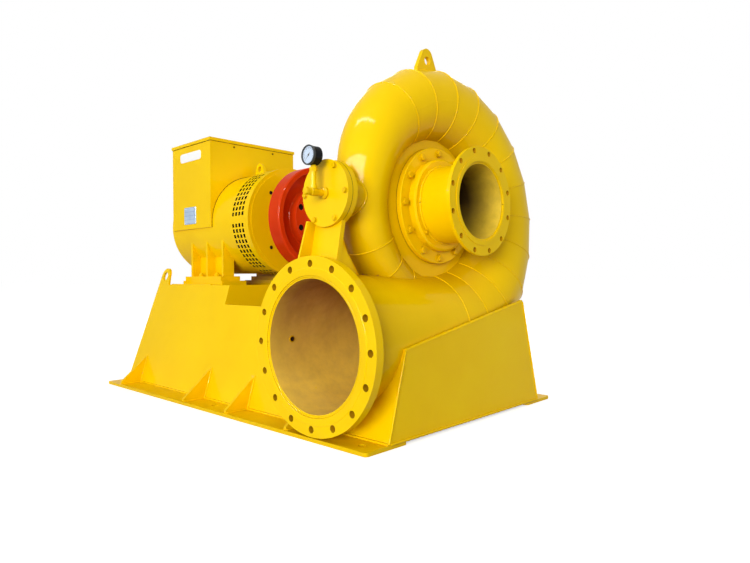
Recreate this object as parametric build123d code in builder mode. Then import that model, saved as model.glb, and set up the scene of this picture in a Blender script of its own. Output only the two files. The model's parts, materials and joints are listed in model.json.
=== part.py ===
"""Small horizontal-shaft spiral-case turbine and generator set on one welded base.

X runs along the shaft (draft tube end is +X), the inlet flange faces -Y, Z is up.
The origin is on the floor, under the shaft, midway along the base. Millimetres.
"""

import os
from math import cos, radians, sin

from build123d import *

os.makedirs("parts", exist_ok=True)

# Driving dimensions: welded base
base_length = 1688
base_half_width = 526
foot_thick = 12
foot_width = 176
foot_corner = 12
anchor_end = 64
anchor_edge = 48
anchor_hole_d = 22
plate_thick = 10
wall_end_gap = 3
saddle_end_gap = 2
wall_inset = 96
wall_lean = 0.29
wall_top_drop = 280
wall_low_drop = 359
step_setback = 52
horn_rise = 78
horn_r = 38
horn_setback = 103
horn_heel = 152
horn_hole_d = 40
end_wall_setback = 70
gusset_thick = 12
gusset_height = 120
gusset_toe = 10
gusset_margin = 6
gusset_rear = 125
gusset_step = 20
gusset_bearing = 110
gusset_casing = 137
saddle_left_drop = 14
saddle_right_rise = 108
rail_thick = 18
rail_lip = 26
rail_over = 22
shelf_thick = 16

# Driving dimensions: shaft line
shaft_r = 40
running_gap = 0.1
seal_gap = 6

# Driving dimensions: spiral casing and its flanges
pipe_r = 213
shell = 10
inlet_proud = 3
inlet_flange_reach = 57
inlet_bolt_reach = 34.5
inlet_holes = 16
inlet_hole_d = 22
inlet_flange_thick = 28
flange_clear = 4
pipe_len = 199
pipe_recess = 3
gore_count = 20
gore_angle = 17.5
smooth_first = 12
smooth_last = 17
spiral_keys = ((0, 1, 241), (90, 0.85, 222), (180, 0.643, 222), (270, 0.377, 220), (350, 0.36, 236))
ring_r = 262
ring_half = 55
ring_plate = 15
ring_bore_r = 165
vane_count = 12
vane_thick = 10
vane_margin = 13
eye_plate = 16
eye_offset = 27
eye_rise = 52
eye_r = 30
eye_foot = 57
eye_hole_rise = 38
eye_hole_r = 16

# Driving dimensions: covers, draft tube and outlet flange
cover_r = 203
cover_thick = 20
cover_edge = 2
collar_r = 160
collar_len = 26
collar_edge = 6
tube_r = 133
tube_bore_r = 125
outlet_proud = 31
outlet_flange_reach = 47
outlet_bolt_reach = 34.5
outlet_flange_thick = 12
outlet_holes = 12
outlet_hole_d = 18
lip_width = 13
lip_rise = 2
gland_r = 92
gland_len = 60
gland_ring_r = 120
gland_ring = 16

# Driving dimensions: runner
runner_r = 152
runner_hub_r = 62
runner_blades = 13
runner_gap = 14
crown_thick = 12
blade_thick = 6
blade_inset = 8
hub_overrun = 20
cone_len = 54
cone_taper = 38

# Driving dimensions: inspection nozzle, its column and the gauge
nozzle_rise = 8
nozzle_slack = 15.5
nozzle_wall = 8
nozzle_len = 88
hatch_reach = 38
hatch_thick = 20
column_half_top = 58
column_half_foot = 62
column_setback = 42
column_thick = 16
web_rise = 105
web_depth = 78
rib_thick = 8
rib_foot = 50
rib_top = 34
gauge_pipe_r = 10
gauge_stem_r = 8.5
gauge_pipe_len = 77
gauge_tee = 44
gauge_rise = 107
gauge_r = 29
gauge_bezel = 3
gauge_deep = 34
gauge_back = 12
dial_thick = 2
dial_recess = 4

# Driving dimensions: flywheel and coupling
wheel_gap = 103
wheel_width = 72
wheel_r = 218
wheel_rim = 22
wheel_web = 30
wheel_slope = 14
wheel_edge = 4
hub_r = 130
half_gap = 4
coupling_len = 46
coupling_edge = 5
pin_count = 8
pin_circle_r = 110
pin_d = 26
pin_depth = 10
shaft_inset = 4

# Driving dimensions: shaft bearing
bearing_setback = 369
bearing_len = 170
bearing_r = 95
bearing_cap_r = 82
bearing_cap_len = 18
deck_thick = 14
deck_margin = 60
pedestal_half = 130
pedestal_margin = 28
pedestal_foot = 18
pedestal_toe = 30

# Driving dimensions: generator
gen_r = 230
gen_rear_gap = 74
coupling_gap = 64
vent_ring_len = 126
vent_ring_rise = 7
ring_wall = 16
shield_inset = 18
shield_proud = 2
cap_r = 106
cap_thick = 22
cap_clear = 5
rear_cover_len = 34
rear_cover_inset = 8
rear_cover_edge = 14
box_start = 0.0327
box_share = 0.6579
box_skin = 8
box_drop = 18
box_rise = 389
lid_thick = 14
lid_over = 4
foot_start = 0.249
foot_share = 0.592
foot_over = 7
foot_depth = 100
gen_foot_thick = 20
foot_rib_thick = 14
foot_rib_inset = 22
foot_rib_end = 0.07
gen_shaft_r = 35
vent_columns = 4
vent_width = 13
vent_height = 16
vent_pitch = 23.5
vent_setback = 75
vent_rows = 10
vent_arc = 51
vent_start = 6
vent_low_rows = 9
vent_low_arc = 46
eye_share = 0.337
eye_base_share = 0.281

# Positions that follow from the sizes above
end_x = base_length / 2
rear_x = -end_x + wall_end_gap
anchor_x = end_x - anchor_end
anchor_y = base_half_width - anchor_edge
wall_foot_y = base_half_width - wall_inset
inlet_flange_d = 2 * (pipe_r + inlet_flange_reach)
inlet_pcd = 2 * (pipe_r + inlet_bolt_reach)
inlet_z = foot_thick + flange_clear + inlet_flange_d / 2
inlet_face_y = -base_half_width - inlet_proud
pipe_joint_y = inlet_face_y + pipe_len
spiral = tuple((angle, throat + pipe_r * share, pipe_r * share) for angle, share, throat in spiral_keys)
axis_z = inlet_z + spiral[0][1]
wall_top = axis_z - wall_top_drop
wall_low_top = axis_z - wall_low_drop
saddle_front_x = end_x - saddle_end_gap
saddle_back_x = saddle_front_x - plate_thick
casing_x = saddle_back_x - pipe_r
ring_front_x = casing_x + ring_half
ring_back_x = casing_x - ring_half
cover_front_x = ring_front_x + cover_thick
rear_cover_x = ring_back_x - cover_thick
outlet_face_x = end_x + outlet_proud
outlet_flange_d = 2 * (tube_r + outlet_flange_reach)
outlet_pcd = 2 * (tube_r + outlet_bolt_reach)
nozzle_z = axis_z + nozzle_rise
nozzle_r = spiral[3][2] - nozzle_slack
hatch_d = 2 * (nozzle_r + hatch_reach)
hatch_face_y = -spiral[3][1] - spiral[3][2] - nozzle_len
hatch_back_y = hatch_face_y + hatch_thick
bearing_x = casing_x - bearing_setback
wheel_front_x = bearing_x - bearing_len / 2 - wheel_gap
wheel_back_x = wheel_front_x - wheel_width
coupling_front_x = wheel_back_x - half_gap
coupling_back_x = coupling_front_x - coupling_len
gen_front_x = coupling_back_x - coupling_gap
gen_rear_x = -end_x + gen_rear_gap
vent_back_x = gen_front_x - vent_ring_len
barrel_len = vent_back_x - gen_rear_x
step_x = gen_front_x - step_setback
box_rear_x = gen_rear_x + box_start * barrel_len
box_front_x = box_rear_x + box_share * barrel_len
box_half = gen_r + box_skin
box_low_z = axis_z - box_drop
box_top_z = axis_z + box_rise
gen_foot_z = wall_top + rail_thick
gen_foot_top = gen_foot_z + gen_foot_thick
gen_foot_x0 = gen_rear_x + foot_start * barrel_len
gen_foot_x1 = gen_foot_x0 + foot_share * barrel_len
gen_foot_y1 = gen_r + foot_over
gen_foot_y0 = gen_foot_y1 - foot_depth
gusset_rear_x = rear_x + gusset_rear
gusset_xs = (gusset_rear_x, step_x + gusset_step, bearing_x - gusset_bearing, casing_x - gusset_casing)


def wall_y(z):
    """Outer Y of a leaning side wall at height z."""
    return wall_foot_y - wall_lean * (z - foot_thick)


def axial(x):
    """Plane across the shaft at x, local x along +Y and local y up."""
    return Plane((x, 0, axis_z), x_dir=(0, 1, 0), z_dir=(1, 0, 0))


def facing_inlet(x, y, z):
    """Plane looking out along -Y at a point."""
    return Plane((x, y, z), x_dir=(1, 0, 0), z_dir=(0, -1, 0))


def spiral_at(angle):
    """Centre radius and tube radius of the spiral at an angle from the bottom."""
    for low, high in zip(spiral, spiral[1:]):
        if low[0] <= angle <= high[0]:
            part = (angle - low[0]) / (high[0] - low[0])
            return low[1] + part * (high[1] - low[1]), low[2] + part * (high[2] - low[2])
    return spiral[-1][1], spiral[-1][2]


def gore_plane(angle):
    """Plane of a seam between two gores of the spiral."""
    mid = spiral_at(angle)[0]
    turn = radians(angle)
    centre = (casing_x, mid * sin(turn), axis_z - mid * cos(turn))
    return Plane(centre, x_dir=(1, 0, 0), z_dir=(0, cos(turn), sin(turn)))


def spiral_sections(first, last, inset):
    """Round sections of the spiral from one seam to another, drawn in by an inset."""
    sections = []
    for k in range(first, last + 1):
        with BuildSketch(gore_plane(k * gore_angle), mode=Mode.PRIVATE) as section:
            Circle(spiral_at(k * gore_angle)[1] - inset)
        sections.append(section.sketch)
    return sections


# Spiral tube as a full body of straight gores and one smooth stretch, also used to trim the plates around it
with BuildPart() as casing_body:
    loft(spiral_sections(0, smooth_first, 0), ruled=True)
    loft(spiral_sections(smooth_first, smooth_last, 0))
    loft(spiral_sections(smooth_last, gore_count, 0), ruled=True)
    with BuildSketch(facing_inlet(casing_x, 0, inlet_z)):
        Circle(pipe_r)
    extrude(amount=-inlet_face_y - inlet_flange_thick)

with BuildPart() as casing_hollow:
    loft(spiral_sections(0, smooth_first, shell), ruled=True)
    loft(spiral_sections(smooth_first, smooth_last, shell))
    loft(spiral_sections(smooth_last, gore_count, shell), ruled=True)
    with BuildSketch(facing_inlet(casing_x, 0, inlet_z)):
        Circle(pipe_r - shell)
    extrude(amount=-inlet_face_y)

# Two foot plates along the base, with the anchor holes
with BuildPart() as left_foot_plate:
    with BuildSketch(Plane.XY):
        with Locations((0, -base_half_width + foot_width / 2)):
            RectangleRounded(base_length, foot_width, foot_corner)
        with Locations((-anchor_x, -anchor_y), (0, -anchor_y), (anchor_x, -anchor_y)):
            Circle(anchor_hole_d / 2, mode=Mode.SUBTRACT)
    extrude(amount=foot_thick)
left_foot_plate.part.label = "left_foot_plate"
export_step(left_foot_plate.part, "parts/left_foot_plate.step")

with BuildPart() as right_foot_plate:
    add(mirror(left_foot_plate.part, about=Plane.XZ, mode=Mode.PRIVATE))
right_foot_plate.part.label = "right_foot_plate"
export_step(right_foot_plate.part, "parts/right_foot_plate.step")

# Leaning side wall: a slanted slab trimmed to the outline seen from the side
horn_x = rear_x + horn_setback
horn_z = wall_top + horn_rise - horn_r
horn_top = wall_top + horn_rise
with BuildPart() as left_side_wall:
    with BuildSketch(Plane.YZ.offset(rear_x)):
        with BuildLine():
            Polyline(
                (-wall_y(foot_thick), foot_thick),
                (-wall_y(horn_top), horn_top),
                (-wall_y(horn_top) + plate_thick, horn_top),
                (-wall_y(foot_thick) + plate_thick, foot_thick),
                close=True,
            )
        make_face()
    extrude(amount=saddle_back_x - rear_x)
    with BuildSketch(Plane.XZ):
        with BuildLine():
            Polyline(
                (rear_x, foot_thick),
                (horn_x - horn_r, horn_z),
                (horn_x + horn_r, horn_z),
                (rear_x + horn_heel, wall_top),
                (step_x, wall_top),
                (step_x, wall_low_top),
                (casing_x, wall_low_top),
                (casing_x, inlet_z),
                (saddle_back_x, inlet_z),
                (saddle_back_x, foot_thick),
                close=True,
            )
        make_face()
        with Locations((horn_x, horn_z)):
            Circle(horn_r)
            Circle(horn_hole_d / 2, mode=Mode.SUBTRACT)
    extrude(amount=base_half_width, mode=Mode.INTERSECT)
    add(casing_body.part, mode=Mode.SUBTRACT)
left_side_wall.part.label = "left_side_wall"
export_step(left_side_wall.part, "parts/left_side_wall.step")

with BuildPart() as right_side_wall:
    with BuildSketch(Plane.YZ.offset(rear_x)):
        with BuildLine():
            Polyline(
                (wall_y(foot_thick), foot_thick),
                (wall_y(horn_top), horn_top),
                (wall_y(horn_top) - plate_thick, horn_top),
                (wall_y(foot_thick) - plate_thick, foot_thick),
                close=True,
            )
        make_face()
    extrude(amount=saddle_back_x - rear_x)
    with BuildSketch(Plane.XZ):
        with BuildLine():
            Polyline(
                (rear_x, foot_thick),
                (horn_x - horn_r, horn_z),
                (horn_x + horn_r, horn_z),
                (rear_x + horn_heel, wall_top),
                (step_x, wall_top),
                (step_x, wall_low_top),
                (saddle_back_x, wall_low_top),
                (saddle_back_x, foot_thick),
                close=True,
            )
        make_face()
        with Locations((horn_x, horn_z)):
            Circle(horn_r)
            Circle(horn_hole_d / 2, mode=Mode.SUBTRACT)
    extrude(amount=-base_half_width, mode=Mode.INTERSECT)
    add(casing_body.part, mode=Mode.SUBTRACT)
right_side_wall.part.label = "right_side_wall"
export_step(right_side_wall.part, "parts/right_side_wall.step")

# Cross plates between the walls
with BuildPart() as rear_end_wall:
    with BuildSketch(Plane.YZ.offset(rear_x + end_wall_setback)):
        with BuildLine():
            Polyline(
                (-wall_y(foot_thick) + plate_thick, foot_thick),
                (-wall_y(wall_top) + plate_thick, wall_top),
                (wall_y(wall_top) - plate_thick, wall_top),
                (wall_y(foot_thick) - plate_thick, foot_thick),
                close=True,
            )
        make_face()
    extrude(amount=plate_thick)
rear_end_wall.part.label = "rear_end_wall"
export_step(rear_end_wall.part, "parts/rear_end_wall.step")

with BuildPart() as step_cross_plate:
    with BuildSketch(Plane.YZ.offset(step_x)):
        with BuildLine():
            Polyline(
                (-wall_y(foot_thick) + plate_thick, foot_thick),
                (-wall_y(wall_low_top) + plate_thick, wall_low_top),
                (-wall_y(wall_low_top), wall_low_top),
                (-wall_y(wall_top), wall_top),
                (wall_y(wall_top), wall_top),
                (wall_y(wall_low_top), wall_low_top),
                (wall_y(wall_low_top) - plate_thick, wall_low_top),
                (wall_y(foot_thick) - plate_thick, foot_thick),
                close=True,
            )
        make_face()
    extrude(amount=plate_thick)
step_cross_plate.part.label = "step_cross_plate"
export_step(step_cross_plate.part, "parts/step_cross_plate.step")

with BuildPart() as rear_saddle_plate:
    with BuildSketch(Plane.YZ.offset(casing_x - pipe_r - plate_thick)):
        with BuildLine():
            Polyline(
                (-wall_y(foot_thick) + plate_thick, foot_thick),
                (-wall_y(wall_low_top) + plate_thick, wall_low_top),
                (wall_y(wall_low_top) - plate_thick, wall_low_top),
                (wall_y(foot_thick) - plate_thick, foot_thick),
                close=True,
            )
        make_face()
    extrude(amount=plate_thick)
rear_saddle_plate.part.label = "rear_saddle_plate"
export_step(rear_saddle_plate.part, "parts/rear_saddle_plate.step")

saddle_left_z = inlet_z - saddle_left_drop
saddle_right_z = inlet_z + saddle_right_rise
with BuildPart() as front_saddle_plate:
    with BuildSketch(Plane.YZ.offset(saddle_back_x)):
        with BuildLine():
            Polyline(
                (-wall_y(foot_thick), foot_thick),
                (-wall_y(saddle_left_z), saddle_left_z),
                (wall_y(saddle_right_z), saddle_right_z),
                (wall_y(foot_thick), foot_thick),
                close=True,
            )
        make_face()
    extrude(amount=plate_thick)
front_saddle_plate.part.label = "front_saddle_plate"
export_step(front_saddle_plate.part, "parts/front_saddle_plate.step")

# Triangular gussets between the walls and the foot plates
gusset_top = foot_thick + gusset_height
with BuildPart() as left_gussets:
    for x in gusset_xs:
        with BuildSketch(Plane.YZ.offset(x - gusset_thick / 2)):
            with BuildLine():
                Polyline(
                    (-wall_y(foot_thick), foot_thick),
                    (-wall_y(gusset_top), gusset_top),
                    (-base_half_width + gusset_margin, foot_thick + gusset_toe),
                    (-base_half_width + gusset_margin, foot_thick),
                    close=True,
                )
            make_face()
        extrude(amount=gusset_thick)
    add(casing_body.part, mode=Mode.SUBTRACT)
left_gussets.part.label = "left_gussets"
export_step(left_gussets.part, "parts/left_gussets.step")

with BuildPart() as right_gussets:
    for x in gusset_xs:
        with BuildSketch(Plane.YZ.offset(x - gusset_thick / 2)):
            with BuildLine():
                Polyline(
                    (wall_y(foot_thick), foot_thick),
                    (wall_y(gusset_top), gusset_top),
                    (base_half_width - gusset_margin, foot_thick + gusset_toe),
                    (base_half_width - gusset_margin, foot_thick),
                    close=True,
                )
            make_face()
        extrude(amount=gusset_thick)
    add(casing_body.part, mode=Mode.SUBTRACT)
right_gussets.part.label = "right_gussets"
export_step(right_gussets.part, "parts/right_gussets.step")

# Rails that carry the generator feet: a shelf welded inside the wall with a raised pad
shelf_z = wall_top - shelf_thick
rail_inner_y = gen_foot_y0 - rail_lip
rail_x0 = gen_foot_x0 - rail_over
rail_x1 = gen_foot_x1 + rail_over / 2
with BuildPart() as left_rail:
    with BuildSketch(Plane.YZ.offset(rail_x0)):
        with BuildLine():
            Polyline(
                (-rail_inner_y, shelf_z),
                (-wall_y(shelf_z) + plate_thick, shelf_z),
                (-wall_y(wall_top) + plate_thick, wall_top),
                (-gen_foot_y1, wall_top),
                (-gen_foot_y1, gen_foot_z),
                (-rail_inner_y, gen_foot_z),
                close=True,
            )
        make_face()
    extrude(amount=rail_x1 - rail_x0)
left_rail.part.label = "left_rail"
export_step(left_rail.part, "parts/left_rail.step")

with BuildPart() as right_rail:
    add(mirror(left_rail.part, about=Plane.XZ, mode=Mode.PRIVATE))
right_rail.part.label = "right_rail"
export_step(right_rail.part, "parts/right_rail.step")

# Stay ring: two plates with guide vanes between them
with BuildPart() as stay_ring:
    with BuildSketch(axial(ring_back_x)):
        Circle(ring_r)
        Circle(ring_bore_r, mode=Mode.SUBTRACT)
    extrude(amount=ring_plate)
    with BuildSketch(axial(ring_front_x - ring_plate)):
        Circle(ring_r)
        Circle(ring_bore_r, mode=Mode.SUBTRACT)
    extrude(amount=ring_plate)
    with BuildSketch(axial(ring_back_x + ring_plate)):
        with PolarLocations((ring_r + ring_bore_r) / 2, vane_count):
            SlotOverall(ring_r - ring_bore_r - 2 * vane_margin, vane_thick, rotation=62)
    extrude(amount=2 * ring_half - 2 * ring_plate)
stay_ring.part.label = "stay_ring"
export_step(stay_ring.part, "parts/stay_ring.step")

# Spiral casing: hollow welded gores, open to the stay ring and to the inspection nozzle
with BuildPart() as spiral_casing:
    add(casing_body.part)
    add(casing_hollow.part, mode=Mode.SUBTRACT)
    with BuildSketch(axial(ring_back_x)):
        Circle(ring_r)
    extrude(amount=2 * ring_half, mode=Mode.SUBTRACT)
    with BuildSketch(facing_inlet(casing_x, pipe_joint_y, inlet_z)):
        Rectangle(4 * pipe_r, 2 * (pipe_r + shell))
    extrude(amount=base_half_width, mode=Mode.SUBTRACT)
    with BuildSketch(facing_inlet(casing_x, -ring_r, nozzle_z)):
        Circle(nozzle_r - nozzle_wall)
    extrude(amount=base_half_width, mode=Mode.SUBTRACT)
spiral_casing.part.label = "spiral_casing"
export_step(spiral_casing.part, "parts/spiral_casing.step")

with BuildPart() as inlet_pipe:
    with BuildSketch(facing_inlet(casing_x, pipe_joint_y, inlet_z)):
        Circle(pipe_r)
        Circle(pipe_r - shell, mode=Mode.SUBTRACT)
    extrude(amount=pipe_len - pipe_recess)
inlet_pipe.part.label = "inlet_pipe"
export_step(inlet_pipe.part, "parts/inlet_pipe.step")

with BuildPart() as inlet_flange:
    with BuildSketch(facing_inlet(casing_x, inlet_face_y + inlet_flange_thick, inlet_z)):
        Circle(inlet_flange_d / 2)
        Circle(pipe_r, mode=Mode.SUBTRACT)
        with PolarLocations(inlet_pcd / 2, inlet_holes, start_angle=90):
            Circle(inlet_hole_d / 2, mode=Mode.SUBTRACT)
    extrude(amount=inlet_flange_thick)
inlet_flange.part.label = "inlet_flange"
export_step(inlet_flange.part, "parts/inlet_flange.step")

# Lifting eye on the crown of the casing
crown = spiral_at(180)[0] + spiral_at(180)[1]
with BuildPart() as casing_lifting_eye:
    with BuildSketch(axial(casing_x - eye_plate / 2)):
        with Locations((eye_offset, crown + eye_rise)):
            Circle(eye_r)
        with Locations((eye_offset, crown)):
            Rectangle(2 * eye_foot, shell)
        make_hull()
        with Locations((eye_offset, crown + eye_hole_rise)):
            Circle(eye_hole_r, mode=Mode.SUBTRACT)
    extrude(amount=eye_plate)
    with BuildSketch(axial(casing_x - eye_plate / 2)):
        with Locations((eye_offset, crown - 2 * shell)):
            Rectangle(2 * eye_foot, 4 * shell)
    extrude(amount=eye_plate)
    add(casing_body.part, mode=Mode.SUBTRACT)
casing_lifting_eye.part.label = "casing_lifting_eye"
export_step(casing_lifting_eye.part, "parts/casing_lifting_eye.step")

# Front cover, collar, draft tube and outlet flange
with BuildPart() as front_head_cover:
    with BuildSketch(axial(ring_front_x)):
        Circle(cover_r)
        Circle(tube_r, mode=Mode.SUBTRACT)
    extrude(amount=cover_thick)
    chamfer(front_head_cover.edges().filter_by(GeomType.CIRCLE).sort_by(SortBy.RADIUS)[-2:], cover_edge)
front_head_cover.part.label = "front_head_cover"
export_step(front_head_cover.part, "parts/front_head_cover.step")

with BuildPart() as draft_tube_collar:
    with BuildSketch(axial(cover_front_x)):
        Circle(collar_r)
        Circle(tube_r, mode=Mode.SUBTRACT)
    extrude(amount=collar_len)
    chamfer(draft_tube_collar.edges().group_by(Axis.X)[-1].sort_by(SortBy.RADIUS)[-1], collar_edge)
draft_tube_collar.part.label = "draft_tube_collar"
export_step(draft_tube_collar.part, "parts/draft_tube_collar.step")

with BuildPart() as draft_tube:
    with BuildSketch(axial(ring_front_x)):
        Circle(tube_r)
        Circle(tube_bore_r, mode=Mode.SUBTRACT)
    extrude(amount=outlet_face_x - outlet_flange_thick / 4 - ring_front_x)
draft_tube.part.label = "draft_tube"
export_step(draft_tube.part, "parts/draft_tube.step")

with BuildPart() as outlet_flange:
    with BuildSketch(axial(outlet_face_x - outlet_flange_thick)):
        Circle(outlet_flange_d / 2)
        Circle(tube_r, mode=Mode.SUBTRACT)
        with PolarLocations(outlet_pcd / 2, outlet_holes, start_angle=15):
            Circle(outlet_hole_d / 2, mode=Mode.SUBTRACT)
    extrude(amount=outlet_flange_thick)
    with BuildSketch(axial(outlet_face_x)):
        Circle(tube_r + lip_width)
        Circle(tube_r, mode=Mode.SUBTRACT)
    extrude(amount=lip_rise)
outlet_flange.part.label = "outlet_flange"
export_step(outlet_flange.part, "parts/outlet_flange.step")

# Rear cover and shaft gland
with BuildPart() as rear_head_cover:
    with BuildSketch(axial(rear_cover_x)):
        Circle(cover_r)
        Circle(shaft_r + seal_gap, mode=Mode.SUBTRACT)
    extrude(amount=cover_thick)
rear_head_cover.part.label = "rear_head_cover"
export_step(rear_head_cover.part, "parts/rear_head_cover.step")

with BuildPart() as shaft_gland:
    with BuildSketch(axial(rear_cover_x - gland_len)):
        Circle(gland_r)
        Circle(shaft_r + running_gap, mode=Mode.SUBTRACT)
    extrude(amount=gland_len)
    with BuildSketch(axial(rear_cover_x - gland_ring)):
        Circle(gland_ring_r)
        Circle(gland_r, mode=Mode.SUBTRACT)
    extrude(amount=gland_ring)
shaft_gland.part.label = "shaft_gland"
export_step(shaft_gland.part, "parts/shaft_gland.step")

# Inspection nozzle with its bolted hatch, the column under it and the rib beside it
nozzle_root_y = -spiral_at(270)[0]
with BuildPart() as inspection_nozzle:
    with BuildSketch(facing_inlet(casing_x, nozzle_root_y, nozzle_z)):
        Circle(nozzle_r)
    extrude(amount=nozzle_root_y - hatch_back_y)
    with BuildSketch(facing_inlet(casing_x, hatch_back_y + hatch_thick, nozzle_z)):
        Circle(hatch_d / 2)
    extrude(amount=hatch_thick)
    with BuildSketch(facing_inlet(casing_x, nozzle_root_y, nozzle_z)):
        Circle(nozzle_r - nozzle_wall)
    extrude(amount=nozzle_root_y - hatch_back_y, mode=Mode.SUBTRACT)
    add(casing_body.part, mode=Mode.SUBTRACT)
inspection_nozzle.part.label = "inspection_nozzle"
export_step(inspection_nozzle.part, "parts/inspection_nozzle.step")

with BuildPart() as inspection_hatch:
    with BuildSketch(facing_inlet(casing_x, hatch_back_y, nozzle_z)):
        Circle(hatch_d / 2)
    extrude(amount=hatch_thick)
inspection_hatch.part.label = "inspection_hatch"
export_step(inspection_hatch.part, "parts/inspection_hatch.step")

# Leaning plate under the nozzle flange, with webs behind its foot
pipe_top_z = inlet_z + pipe_r
column_foot_y = inlet_face_y + column_setback
column_top_z = nozzle_z - nozzle_r
column_low_z = pipe_top_z - 2 * plate_thick
column_lean = (hatch_back_y - column_foot_y) / (column_top_z - pipe_top_z)


def column_y(z):
    """Front Y of the leaning plate at height z."""
    return column_foot_y + column_lean * (z - pipe_top_z)


with BuildPart() as nozzle_column:
    with BuildSketch(Plane.YZ.offset(casing_x - column_half_foot)):
        with BuildLine():
            Polyline(
                (column_y(column_low_z), column_low_z),
                (column_y(column_top_z), column_top_z),
                (column_y(column_top_z) + column_thick, column_top_z),
                (column_y(column_low_z) + column_thick, column_low_z),
                close=True,
            )
        make_face()
    extrude(amount=2 * column_half_foot)
    with BuildSketch(Plane.XZ):
        with BuildLine():
            Polyline(
                (casing_x - column_half_foot, inlet_z),
                (casing_x - column_half_foot, pipe_top_z),
                (casing_x - column_half_top, column_top_z),
                (casing_x + column_half_top, column_top_z),
                (casing_x + column_half_foot, pipe_top_z),
                (casing_x + column_half_foot, inlet_z),
                close=True,
            )
        make_face()
    extrude(amount=2 * base_half_width, mode=Mode.INTERSECT)
    for x in (casing_x - column_half_top, casing_x + column_half_top - plate_thick):
        with BuildSketch(Plane.YZ.offset(x)):
            with BuildLine():
                Polyline(
                    (column_y(pipe_top_z) + column_thick / 2, inlet_z),
                    (column_y(pipe_top_z) + column_thick / 2, pipe_top_z),
                    (column_y(pipe_top_z + web_rise) + column_thick / 2, pipe_top_z + web_rise),
                    (column_y(pipe_top_z) + column_thick + web_depth, pipe_top_z + plate_thick),
                    (column_y(pipe_top_z) + column_thick + web_depth, inlet_z),
                    close=True,
                )
            make_face()
        extrude(amount=plate_thick)
    add(casing_body.part, mode=Mode.SUBTRACT)
    with BuildSketch(facing_inlet(casing_x, 0, nozzle_z)):
        Circle(hatch_d / 2)
    extrude(amount=2 * base_half_width, mode=Mode.SUBTRACT)
nozzle_column.part.label = "nozzle_column"
export_step(nozzle_column.part, "parts/nozzle_column.step")

# Rib in front of the near edge of the leaning plate, from the flange rim up to the hatch rim
rib_x = casing_x - column_half_foot - rib_thick / 2
rib_low_z = inlet_z + pipe_r
rib_top_z = nozzle_z - hatch_d / 2 + 2 * plate_thick
with BuildPart() as column_rib:
    with BuildSketch(Plane.YZ.offset(rib_x)):
        with BuildLine():
            Polyline(
                (column_y(rib_low_z) - rib_foot, rib_low_z),
                (column_y(rib_top_z) - rib_top, rib_top_z),
                (column_y(rib_top_z), rib_top_z),
                (column_y(rib_low_z), rib_low_z),
                close=True,
            )
        make_face()
    extrude(amount=rib_thick)
    with BuildSketch(facing_inlet(casing_x, 0, inlet_z)):
        Circle(inlet_flange_d / 2)
    extrude(amount=2 * base_half_width, mode=Mode.SUBTRACT)
    with BuildSketch(facing_inlet(casing_x, 0, nozzle_z)):
        Circle(hatch_d / 2)
    extrude(amount=2 * base_half_width, mode=Mode.SUBTRACT)
    add(nozzle_column.part, mode=Mode.SUBTRACT)
column_rib.part.label = "column_rib"
export_step(column_rib.part, "parts/column_rib.step")

# Pressure gauge on a tee from the middle of the hatch
gauge_z = nozzle_z + gauge_rise
tee_y = hatch_face_y - gauge_tee
case_back_y = tee_y + gauge_back
case_front_y = case_back_y - gauge_deep
with BuildPart() as gauge_pipe:
    with BuildSketch(facing_inlet(casing_x, hatch_face_y, nozzle_z)):
        Circle(gauge_pipe_r)
    extrude(amount=gauge_pipe_len)
    with BuildSketch(Plane.XY.offset(nozzle_z)):
        with Locations((casing_x, tee_y)):
            Circle(gauge_stem_r)
    extrude(amount=gauge_rise)
    with BuildSketch(facing_inlet(casing_x, case_back_y, gauge_z)):
        Circle(gauge_r)
    extrude(amount=gauge_deep, mode=Mode.SUBTRACT)
gauge_pipe.part.label = "gauge_pipe"
export_step(gauge_pipe.part, "parts/gauge_pipe.step")

with BuildPart() as gauge_case:
    with BuildSketch(facing_inlet(casing_x, case_back_y, gauge_z)):
        Circle(gauge_r)
    extrude(amount=gauge_deep)
    with BuildSketch(facing_inlet(casing_x, case_front_y + dial_recess + dial_thick, gauge_z)):
        Circle(gauge_r - gauge_bezel)
    extrude(amount=gauge_deep, mode=Mode.SUBTRACT)
gauge_case.part.label = "gauge_case"
export_step(gauge_case.part, "parts/gauge_case.step")

with BuildPart() as gauge_dial:
    with BuildSketch(facing_inlet(casing_x, case_front_y + dial_recess + dial_thick, gauge_z)):
        Circle(gauge_r - gauge_bezel)
    extrude(amount=dial_thick)
gauge_dial.part.label = "gauge_dial"
export_step(gauge_dial.part, "parts/gauge_dial.step")

# Shaft bearing on its deck between the turbine and the flywheel
deck_front_x = casing_x - pipe_r - plate_thick
bearing_back_x = bearing_x - bearing_len / 2
deck_back_x = bearing_back_x - deck_margin
deck_top_z = wall_low_top + deck_thick
with BuildPart() as bearing_deck:
    with BuildSketch(Plane.XY.offset(wall_low_top)):
        with Locations(((deck_front_x + deck_back_x) / 2, 0)):
            Rectangle(deck_front_x - deck_back_x, 2 * wall_y(wall_low_top))
    extrude(amount=deck_thick)
bearing_deck.part.label = "bearing_deck"
export_step(bearing_deck.part, "parts/bearing_deck.step")

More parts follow.
